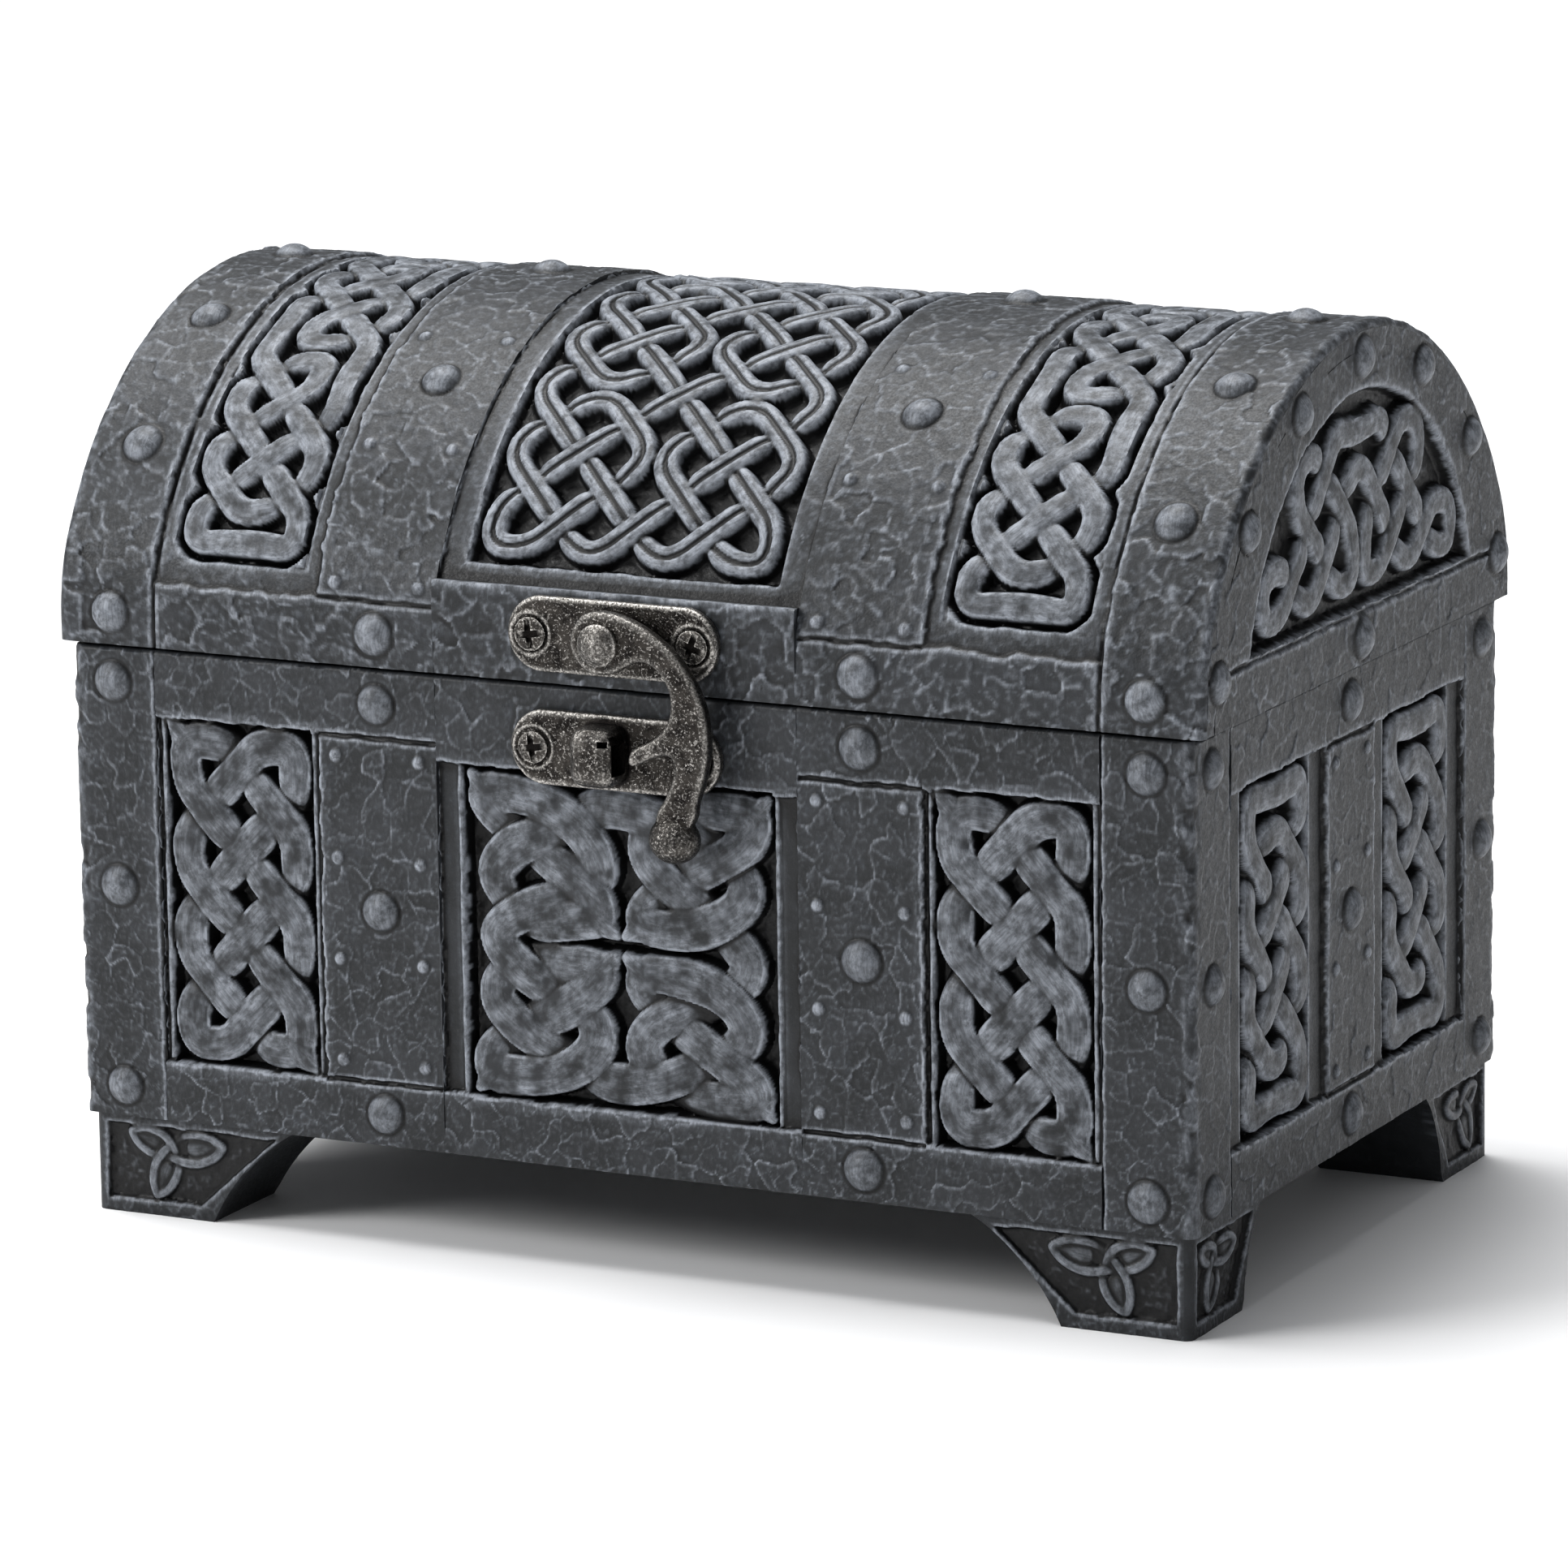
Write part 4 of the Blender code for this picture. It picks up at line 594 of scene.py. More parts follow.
def makeResin():
    # Cold-cast resin painted slate grey: satin skin, pale dry-brushed edges, and black wash in the hollows
    # taken near black as painted shade
    material, place = newMaterial("coldCastResin")
    wear = addNode(material, "ShaderNodeAttribute", {"attribute_name": "wear"}).outputs["Fac"]
    cavity = addNode(material, "ShaderNodeAttribute", {"attribute_name": "cavity"}).outputs["Fac"]
    plates = addNode(material, "ShaderNodeAttribute", {"attribute_name": "plates"}).outputs["Fac"]
    # 9 mm clouds of thicker and thinner wash
    wash = addNode(material, "ShaderNodeTexNoise", {"Scale": 0.11, "Detail": 4.0, "Roughness": 0.6},
                   {"Vector": place}).outputs["Fac"]
    # 1.4 mm blotches where the dry brush caught
    catch = addNode(material, "ShaderNodeTexNoise", {"Scale": 0.7, "Detail": 5.0, "Roughness": 0.65},
                    {"Vector": place}).outputs["Fac"]
    # 0.25 mm grain of the mould, a little coarser than life so that it shows
    grain = addNode(material, "ShaderNodeTexNoise", {"Scale": 3.2, "Detail": 3.0, "Roughness": 0.6},
                    {"Vector": place}).outputs["Fac"]
    # 0.2 mm hairs of the dry brush, 1.5 mm long, which follow the strands
    along = addNode(material, "ShaderNodeAttribute", {"attribute_name": "along"}).outputs["Fac"]
    across = addNode(material, "ShaderNodeAttribute", {"attribute_name": "across"}).outputs["Fac"]
    drawn = addNode(material, "ShaderNodeCombineXYZ", {}, {
        "X": calculated(material, "MULTIPLY", along, 0.7),
        "Y": calculated(material, "MULTIPLY", across, 2.6)})
    hairs = addNode(material, "ShaderNodeTexNoise", {"Scale": 1.0, "Detail": 4.0, "Roughness": 0.7},
                    {"Vector": drawn.outputs[0]}).outputs["Fac"]
    tone = blendColour(material, mapped(material, wash, 0.38, 0.64), resinLook["dark"], resinLook["body"])
    tone = blendColour(material, mapped(material, catch, 0.5, 0.75, 0.0, 0.55), tone, resinLook["blue"])
    # pale flake ridges: dry-brush, and partly painted highlight where light catches the ridge edges
    ridge = calculated(material, "MULTIPLY", plates, mapped(material, catch, 0.35, 0.6, 0.15, 0.75))
    tone = blendColour(material, ridge, tone, resinLook["ridge"])
    caught = calculated(material, "MULTIPLY", wear, mapped(material, catch, 0.3, 0.62, 0.25, 1.0))
    caught = calculated(material, "MULTIPLY", caught, mapped(material, hairs, 0.32, 0.66, 0.55, 1.2))
    tone = blendColour(material, mapped(material, hairs, 0.56, 0.76, 0.0, 0.22), tone, resinLook["ridge"])
    tone = blendColour(material, caught, tone, resinLook["brushed"])
    # painted shade: hollows go towards near black with the cavity, over the black wash
    tone = blendColour(material, mapped(material, cavity, 0.05, 0.65), tone, resinLook["deep"])
    height = calculated(material, "ADD", grain, calculated(material, "MULTIPLY", catch, 0.8))
    bump = addNode(material, "ShaderNodeBump", {"Strength": 0.35, "Distance": 0.00012}, {"Height": height})
    gloss = {"IOR": 1.5, "Specular IOR Level": resinLook["specular"]}
    shader = addNode(material, "ShaderNodeBsdfPrincipled", gloss,
                     {"Base Color": tone, "Normal": bump.outputs["Normal"],
                      "Roughness": mapped(material, grain, 0.3, 0.7, resinLook["roughness"] - 0.08,
                                          resinLook["roughness"] + 0.1)})
    addNode(material, "ShaderNodeOutputMaterial", {}, {"Surface": shader.outputs[0]})
    return material


pewterLook = {"dark": "#171514", "body": "#35322f", "bright": "#cecac4", "roughness": 0.31}


def makePewter(name, look, drawn=True):
    # Antiqued pewter plate on cast zinc: dark brown wash, with edges and high spots rubbed bright
    material, place = newMaterial(name)
    # 2 mm patches of thicker wash
    blotch = addNode(material, "ShaderNodeTexNoise", {"Scale": 0.5, "Detail": 5.0, "Roughness": 0.65},
                     {"Vector": place}).outputs["Fac"]
    # 0.3 mm pits of the cast skin
    grit = addNode(material, "ShaderNodeTexNoise", {"Scale": 3.4, "Detail": 4.0, "Roughness": 0.65},
                   {"Vector": place}).outputs["Fac"]
    # hair-fine rubbing marks, drawn wider than life so that they show
    streak = addNode(material, "ShaderNodeTexNoise", {"Scale": 1.6, "Detail": 3.0, "Distortion": 1.5},
                     {"Vector": place}).outputs["Fac"]
    tone = blendColour(material, mapped(material, blotch, 0.36, 0.62), look["dark"], look["body"])
    tone = blendColour(material, mapped(material, grit, 0.55, 0.72, 0.0, 0.65), tone, look["bright"])
    tone = blendColour(material, mapped(material, streak, 0.6, 0.7, 0.0, 0.3), tone, look["bright"])
    if drawn:
        wear = addNode(material, "ShaderNodeAttribute", {"attribute_name": "wear"}).outputs["Fac"]
        cavity = addNode(material, "ShaderNodeAttribute", {"attribute_name": "cavity"}).outputs["Fac"]
        rubbed = calculated(material, "MULTIPLY", wear, mapped(material, grit, 0.38, 0.6, 0.12, 0.95))
        tone = blendColour(material, rubbed, tone, look["bright"])
        tone = blendColour(material, mapped(material, cavity, 0.05, 0.7), tone, look["dark"])
    bump = addNode(material, "ShaderNodeBump", {"Strength": 0.8, "Distance": 0.00015}, {"Height": grit})
    shader = addNode(material, "ShaderNodeBsdfPrincipled", {"Metallic": 1.0},
                     {"Base Color": tone, "Normal": bump.outputs["Normal"],
                      "Roughness": mapped(material, grit, 0.35, 0.7, look["roughness"] + 0.12,
                                          look["roughness"] - 0.08)})
    addNode(material, "ShaderNodeOutputMaterial", {}, {"Surface": shader.outputs[0]})
    return material


resin = makeResin()
pewter = makePewter("antiquedPewter", pewterLook)
hingeMetal = makePewter("antiquedSteel", pewterLook, False)
steel = makePewter("darkenedSteel", {"dark": "#3a3733", "body": "#7d7973", "bright": "#c4c0b8",
                                     "roughness": 0.34}, False)


# Base casting

def fringeField(canvas, low, high, border, seed, top):
    # sunk panel with a shallow step at each strap
    field = inRectangle(canvas, low, high, base["panelLow"], top)
    sink(canvas, ragged(canvas, field, seed), base["step"], 0.35)
    a, b = canvas["a"], canvas["b"]
    beside = np.minimum(a - low, high - a) + 0.08 * cloud(a, b, 2.5, seed + 1)
    canvas["height"] += 0.35 * smoothStep(1.3 - np.abs(beside - border + 0.5) / 0.35) * (field > 0)
    # painted shade: a dark line along the foot of the step, just inside the panel's edge
    canvas["dark"] += 0.5 * smoothStep(1.2 - np.abs(beside - 0.15) / 0.3) * (field > 0)
    inner = inRectangle(canvas, low + border, high - border, base["panelLow"], top)
    sink(canvas, ragged(canvas, inner, seed + 2, 0.12), base["floor"], 0.4)
    return inner > 0.2


def studPairs(canvas, middle, spreadOut, seed):
    for row in range(4):
        level = 22.9 + row * (60.8 - 22.9) / 3
        for side in (-1, 1):
            dome(canvas, middle + side * spreadOut, level, rivets["studRadius"], rivets["studHeight"],
                 seed + row)


def frontCanvas(lowX, highX, step, seed, back=False):
    canvas = newCanvas(lowX, highX, base["bottom"], base["top"], step)
    a, b = canvas["a"], canvas["b"]
    middle = (base["panelLow"] + base["panelHigh"]) / 2
    height = base["panelHigh"] - base["panelLow"]
    field = np.zeros_like(a)
    for side in (-1, 1):
        low, high = sorted((side * base["strapOut"], side * base["cornerX"]))
        if high > lowX and low < highX:
            field = np.maximum(field, inRectangle(canvas, low, high, base["panelLow"], base["panelHigh"]) > 0)
    inner = inRectangle(canvas, -base["strapIn"], base["strapIn"], base["panelLow"], base["centreHigh"])
    field = np.maximum(field, inner > 0)
    castPlates(canvas, seed, 1 - field, 0.32)
    for side in (-1, 1):
        low, high = sorted((side * base["strapOut"], side * base["cornerX"]))
        if high > lowX and low < highX:
            floor = fringeField(canvas, low, high, base["sideBorder"], seed + 20 + side, base["panelHigh"])
            stipple(canvas, floor, seed + 23 + side)
            size = (high - low - 2 * base["sideBorder"], height)
            centre = (low + high) / 2
            layKnot(canvas, (centre, middle), size, (2, 4), {}, True, strandStyle, seed + side)
            for lean in (-1, 1):
                start = (centre + lean * (size[0] / 2 - 2.9), middle - lean * (height / 2 - 2.9))
                tip = (centre + lean * (size[0] / 2 - 0.2), middle - lean * (height / 2 - 0.1))
                layTip(canvas, start, tip, strandStyle, (4.4, 0.8))
    if lowX < 0 < highX:
        floor = fringeField(canvas, -base["strapIn"], base["strapIn"], base["centreBorder"], seed + 30,
                            base["centreHigh"])
        stipple(canvas, floor, seed + 33)
        size = (2 * (base["strapIn"] - base["centreBorder"]), height)
        style = dict(strandStyle, width=4.95)
        layLine(canvas, onPanel(middleKnot, size, middle), style, seed)
        for tip in knotTips:
            layTip(canvas, *onPanel(tip, size, middle), style, (4.4, 1.2))
    brushStrands(canvas, seed + 40)
    for side in (-1, 1):
        onStrap = (np.abs(a - side * rivets["strapX"]) < (base["strapOut"] - base["strapIn"]) / 2)
        for level in (base["panelLow"], base["panelHigh"]):
            line = b - level + 0.15 * cloud(a, b, 2.5, seed + 51)
            engrave(canvas, np.where(onStrap, line, 9), 0.55, 0.45)
        for level in rivets["levels"]:
            dome(canvas, side * rivets["strapX"], level, rivets["radius"], rivets["height"],
                 seed + int(level), rivets["groove"])
        studPairs(canvas, side * rivets["strapX"], rivets["studSpread"], seed)
    if back:
        for side in (-1, 1):
            seat = inRectangle(canvas, side * 51.85 - 10.2, side * 51.85 + 10.2, 64.3, 72.5)
            sink(canvas, seat, 0.62, 0.1)
    return canvas


def endCanvas(step, seed):
    canvas = newCanvas(-base["cornerY"], base["cornerY"], base["bottom"], base["top"], step)
    a, b = canvas["a"], canvas["b"]
    middle = (base["panelLow"] + base["panelHigh"]) / 2
    height = base["panelHigh"] - base["panelLow"]
    inPanel = (np.abs(a) > base["endStrap"]) & (np.abs(b - middle) < height / 2)
    castPlates(canvas, seed, 1 - inPanel, 0.6)
    for side in (-1, 1):
        low, high = sorted((side * base["endStrap"], side * base["cornerY"]))
        field = inRectangle(canvas, low, high, base["panelLow"], base["panelHigh"])
        sink(canvas, ragged(canvas, field, seed + 3), base["step"], 0.35)
        near, far = sorted((side * base["endNear"], side * base["endFar"]))
        inner = inRectangle(canvas, near, far, base["panelLow"], base["panelHigh"])
        sink(canvas, ragged(canvas, inner, seed + 5, 0.12), base["floor"], 0.4)
        stipple(canvas, inner > 0.2, seed + 7)
        breaks = {(2, 1): "level", (2, 7): "level"}
        layKnot(canvas, ((near + far) / 2, middle), (far - near, height), (2, 4), breaks, True,
                dict(strandStyle, width=3.7), seed + side)
    brushStrands(canvas, seed + 9)
    for level in (base["panelLow"], base["panelHigh"]):
        line = b - level + 0.15 * cloud(a, b, 2.5, seed + 11)
        engrave(canvas, np.where(np.abs(a) < base["endStrap"], line, 9), 0.55, 0.45)
    for level in rivets["levels"]:
        dome(canvas, 0, level, rivets["radius"], rivets["height"], seed + int(level), rivets["groove"])
    studPairs(canvas, 0, 4.85, seed)
    return canvas


def skinEdges(depth):
    # top chamfer, then the plain back
    return [(base["top"], -0.4), (base["top"], -depth), (base["bottom"], -depth), (base["bottom"], -0.3)]


def makeFaces():
    rows = spread(base["bottom"], base["top"] - 0.4, 0.2)
    front = lambda a, b, lift: placed(a, -(base["halfY"] + lift), b)
    back = lambda a, b, lift: placed(a, base["halfY"] + lift, b)
    closing = skinEdges(base["skin"])
    spans = (("left", -base["cornerX"], -base["strapIn"]), ("centre", -base["strapIn"], base["strapIn"]),
             ("right", base["strapIn"], base["cornerX"]))
    for number, (word, low, high) in enumerate(spans):
        canvas = frontCanvas(low, high, 0.2, 100 + 60 * number)
        reliefSkin(f"base_front_{word}", canvas, spread(low, high, 0.2), rows, closing, front,
                   "base", "base_casting")
    canvas = frontCanvas(-base["cornerX"], base["cornerX"], 0.3, 400, True)
    reliefSkin("base_back", canvas, spread(-base["cornerX"], base["cornerX"], 0.36),
               spread(base["bottom"], base["top"] - 0.4, 0.36), closing, back, "base", "base_casting")
    for side, word, step in ((1, "right", 0.23), (-1, "left", 0.34)):
        place = lambda a, b, lift: placed(side * (base["halfX"] + lift), a, b)
        canvas = endCanvas(step, 500 + 60 * side)
        reliefSkin(f"base_end_{word}", canvas, spread(-base["cornerY"], base["cornerY"], step),
                   spread(base["bottom"], base["top"] - 0.4, step), closing, place,
                   "base", "base_casting")
    print("base faces made")


def makePosts():
    # four corner straps that wrap from one face to the next
    radius = base["cornerRound"]
    flat = base["halfX"] - radius - base["cornerX"]
    arc = radius * math.pi / 2
    whole = flat + arc + base["halfY"] - radius - base["cornerY"]
    sideRivet = flat + arc + base["halfY"] - radius - rivets["postY"]
    for sideX in (-1, 1):
        for sideY in (-1, 1):
            step = 0.2 if sideY < 0 else 0.36
            seed = 700 + 10 * sideX + 3 * sideY
            canvas = newCanvas(0, whole, base["bottom"], base["top"], step)
            a, b = canvas["a"], canvas["b"]
            castPlates(canvas, seed, 1.0, 0.4)
            onEdge = smoothStep(1.6 - np.abs(a - flat - arc / 2) / 1.2)
            canvas["height"] -= onEdge * 0.25 * smoothStep(cloud(a, b, 3.0, seed + 1) * 1.4)
            canvas["pale"] += 0.3 * onEdge * smoothStep(0.5 + cloud(a, b, 2.0, seed + 2))
            for edge in (0, whole):
                rim = np.abs(a - edge) + 0.12 * cloud(a, b, 1.5, seed + 4)
                canvas["height"] -= 0.4 * smoothStep(1 - rim / 0.35)
            for level in rivets["levels"]:
                for s in (rivets["postX"] - base["cornerX"], sideRivet):
                    dome(canvas, s, level, rivets["radius"], rivets["height"], seed + int(level),
                         rivets["groove"])

            def place(s, z, lift):
                turn = np.clip((s - flat) / radius, 0, math.pi / 2)
                past = np.maximum(s - flat - arc, 0)
                x = base["cornerX"] + np.minimum(s, flat) + (radius + lift) * np.sin(turn)
                y = base["halfY"] - radius - past + (radius + lift) * np.cos(turn)
                deep = lift < -radius
                inX, inY = base["halfX"] - base["skin"], base["halfY"] - base["skin"]
                flatX = base["cornerX"] + np.minimum(s, flat)
                x = np.where(deep, np.where(s <= flat, np.minimum(flatX, inX), inX), x)
                y = np.where(deep, np.where(s <= flat, inY, np.minimum(inY, y)), y)
                return placed(sideX * x, sideY * y, z)

            stations = np.unique(np.concatenate([spread(0, flat, step), flat + spread(0, arc, 0.15),
                                                 flat + arc + spread(0, whole - flat - arc, step)]))
            reliefSkin(f"base_post_{'left' if sideX < 0 else 'right'}_{'front' if sideY < 0 else 'back'}",
                       canvas, stations, spread(base["bottom"], base["top"] - 0.4, step),
                       skinEdges(base["skin"]), place, "base", "base_casting")
    print("corner posts made")


feet = {"inset": 0.8, "spanX": 45.6, "flareX": 11.9, "spanY": 25.2, "flareY": 6.3, "lip": 1.2,
        "rise": 1.2, "border": 1.9, "depth": 0.7, "middle": (11.6, 8.4),
        "lobes": ((171, 7.2), (291, 6.3), (19, 6.0))}


def footProfile(z, span, flare):
    # inner edge of the foot: a short upright lip, then a hollow arc out to the base
    low, high = np.array([span + flare - feet["lip"] / 2, feet["lip"]]), np.array([span, base["bottom"]])
    share = np.linspace(0, 1, 40)
    bow = np.array([high[1] - low[1], low[0] - high[0]])
    bow = bow / np.hypot(*bow) * feet["rise"]
    line = low + (high - low) * share[:, None] + bow * (4 * share * (1 - share))[:, None]
    return np.where(z <= feet["lip"], span + flare - z * 0.5, np.interp(z, line[:, 1], line[:, 0]))


def footCanvas(half, span, flare, seed, step):
    canvas = newCanvas(span - 2, half + 1, 0, base["bottom"], step)
    a, b = canvas["a"], canvas["b"]
    castPlates(canvas, seed, 1.0, 0.4, 3.0, 0.05)
    # painted shade: the whole foot face is darkened, standing in for the shade low under the chest
    canvas["dark"] += 0.22
    outer, top = half - feet["inset"] - feet["border"], base["bottom"] - feet["border"] * 0.7
    lowIn, highIn = span + flare + feet["border"], span + feet["border"] * 1.6
    slant = lowIn + (highIn - lowIn) * (b - feet["border"]) / (top - feet["border"])
    field = np.minimum(np.minimum(a - slant, outer - a), np.minimum(b - feet["border"], top - b))
    sink(canvas, ragged(canvas, field, seed + 1, 0.12), feet["depth"], 0.3)
    stipple(canvas, field > 0.2, seed + 2)
    middle = (half - feet["middle"][0] * (half - span) / 29.4, feet["middle"][1])
    size = (half - span) / 29.4
    style = dict(strandStyle, width=1.0, crown=0.12, top=-0.05, dip=0.45, wave=0.0, flank=2.0, roundness=2)
    layTriquetra(canvas, middle, size, style, seed)
    brushStrands(canvas, seed + 4, 0.01, 0.5)
    return canvas


def layTriquetra(canvas, middle, size, style, seed):
    # three leaf-shaped loops, each strand over the next and under the one after
    corners, leaves = [], []
    for angle, length in feet["lobes"]:
        out = np.array([math.cos(math.radians(angle)), math.sin(math.radians(angle))])
        aside = np.array([-out[1], out[0]])
        length = length * (size if abs(out[0]) > 0.7 else 1.0)
        for along, across, dip in ((0.14, 0.2, 0), (0.42, 0.27, 0), (0.78, 0.2, 0), (1.0, 0.02, 0),
                                   (1.0, -0.02, 0), (0.78, -0.2, 0), (0.42, -0.27, 0), (0.14, -0.2, 1.4)):
            corners.append((*(middle + length * (along * out + across * aside)), dip))
        leaves.append((middle + length * 0.5 * out, middle + length * 0.92 * out, length))
    layLine(canvas, corners, style, seed)
    for start, end, length in leaves:
        layTip(canvas, start, end, dict(style, top=-0.3, crown=0.25), (0.42 * length, 0.1 * length))


def makeFeet():
    for sideX in (-1, 1):
        for sideY in (-1, 1):
            seen = sideY < 0 or sideX > 0
            step = 0.22 if seen else 0.45
            seed = 900 + 10 * sideX + 3 * sideY
            faceX = footCanvas(base["halfX"], feet["spanX"], feet["flareX"], seed, 0.15)
            faceY = footCanvas(base["halfY"], feet["spanY"], feet["flareY"], seed + 1, 0.15)
            dryBrushAndShade(faceX)
            dryBrushAndShade(faceY)
            outX, outY = base["halfX"] - feet["inset"], base["halfY"] - feet["inset"]
            radius = base["cornerRound"]
            z = spread(0, base["bottom"], step)
            inX = footProfile(z, feet["spanX"], feet["flareX"])
            inY = footProfile(z, feet["spanY"], feet["flareY"])
            t = spread(0, 1, step / 25)
            turn = np.linspace(0, math.pi / 2, 7)[1:-1]
            lines, layers = [], {layer: [] for layer in drawnLayers}

            def addSide(x, y, canvas, across, shape):
                lines.append(np.stack([x, y], axis=-1))
                for layer in layers:
                    values = readCanvas(canvas, layer, across, shape) if canvas else np.zeros_like(x)
                    layers[layer].append(values)

            level = np.broadcast_to(z[:, None], (len(z), len(t)))
            x = inX[:, None] + (outX - radius - inX[:, None]) * t[None, :]
            addSide(x, outY + readCanvas(faceX, "height", x, level), faceX, x, level)
            arcX = outX - radius + radius * np.sin(turn)[None, :] + 0 * z[:, None]
            arcY = outY - radius + radius * np.cos(turn)[None, :] + 0 * z[:, None]
            addSide(arcX, arcY, None, None, None)
            y = outY - radius + (inY[:, None] - outY + radius) * t[None, :]
            addSide(outX + readCanvas(faceY, "height", y, level), y, faceY, y, level)
            few = np.linspace(0, 1, 12)[1:-1]
            x = outX + (inX[:, None] - outX) * few[None, :]
            addSide(x, inY[:, None] + 0 * x, None, None, None)
            y = inY[:, None] + (outY - inY[:, None]) * np.linspace(0, 1, 12)[:-1][None, :]
            addSide(inX[:, None] + 0 * y, y, None, None, None)
            flat = np.concatenate(lines, axis=1)
            points = placed(sideX * flat[..., 0], sideY * flat[..., 1], z[:, None])
            name = f"foot_{'left' if sideX < 0 else 'right'}_{'front' if sideY < 0 else 'back'}"
            sweptSkin(name, points.transpose(1, 0, 2),
                      {layer: np.concatenate(parts, axis=1).T for layer, parts in layers.items()},
                      "base", "base_casting")
    print("feet made")


def makeBaseCore():
    # the walls behind the skins, with the round-cornered hollow
    deselect()
    halfX, halfY = base["halfX"] - base["skin"] + 0.2, base["halfY"] - base["skin"] + 0.2
    low, high = base["bottom"] + 0.05, base["top"] - 0.05
    bpy.ops.mesh.primitive_cube_add(size=1, location=(0, chestMiddle, (low + high) / 2 * mm),
                                    scale=(2 * halfX * mm, 2 * halfY * mm, (high - low) * mm))
    piece = bpy.context.active_object
    bpy.ops.object.transform_apply(location=True, rotation=False, scale=True)
    bpy.ops.object.mode_set(mode="EDIT")
    bpy.ops.mesh.select_mode(type="FACE")
    bpy.ops.mesh.select_all(action="DESELECT")
    bpy.ops.object.mode_set(mode="OBJECT")
    for face in piece.data.polygons:
        face.select = face.normal.z > 0.9
    bpy.ops.object.mode_set(mode="EDIT")
    bpy.ops.mesh.inset(thickness=(base["wall"] - base["skin"] + 0.2) * mm)
    bpy.ops.mesh.extrude_region_move(
        TRANSFORM_OT_translate={"value": (0, 0, (base["cavityFloor"] - high) * mm)})
    bpy.ops.object.mode_set(mode="OBJECT")
    inside = base["halfX"] - base["wall"] + 0.5
    for edge in piece.data.edges:
        ends = [piece.data.vertices[i].co for i in edge.vertices]
        edge.select = (abs(ends[0].z - ends[1].z) > mm and all(abs(end.x) < inside * mm for end in ends))
    bpy.ops.object.mode_set(mode="EDIT")
    bpy.ops.mesh.select_mode(type="EDGE")
    bpy.ops.mesh.bevel(offset=base["cavityCorner"] * mm, segments=8, affect="EDGES")
    bpy.ops.mesh.select_all(action="SELECT")
    bpy.ops.mesh.normals_make_consistent(inside=False)
    bpy.ops.object.mode_set(mode="OBJECT")
    bpy.ops.object.shade_smooth_by_angle(angle=math.radians(35))
    finishPiece(piece, "base_core", "base", resin, ("base_casting",))
    print("base core made")


# Lid casting

def lidRim(canvas, seed):
    # rail joint lines above the straps, where the rail meets them
    a, b = canvas["a"], canvas["b"]
    rail = reachOf(lid["railTop"])
    for end in (-1, 1):
        line = b - end * rail + 0.2 * cloud(a, b, 2.5, seed)
        onStrap = np.abs(np.abs(a) - rivets["strapX"]) < 8.15
        engrave(canvas, np.where(onStrap, line, 9), 0.55, 0.4)


stripStyle = {"width": 3.25, "crown": 0.2, "roundness": 2.4, "flank": 4.5, "top": -0.25,
              "dip": 1.0, "wave": 0.06}


def lidStudRows(canvas, middle, seed):
    low = reachOf(82.0)
    for end in (-1, 1):
        for row in range(3):
            for side in (-1, 1):
                dome(canvas, middle + side * rivets["studSpread"], end * (low - 18.2 * row),
                     rivets["studRadius"], rivets["studHeight"], seed + row)


def outsideOf(canvas, area):
    # what lies between the panel's border and the first strand met from either side
    clear = (canvas["nearest"] > 0) | (area < 0)
    fromLeft = np.cumprod(clear, axis=1)
    fromRight = np.cumprod(clear[:, ::-1], axis=1)[:, ::-1]
    fromLow = np.cumprod(clear, axis=0)
    fromHigh = np.cumprod(clear[::-1], axis=0)[::-1]
    return (fromLeft + fromRight + fromLow + fromHigh) > 0


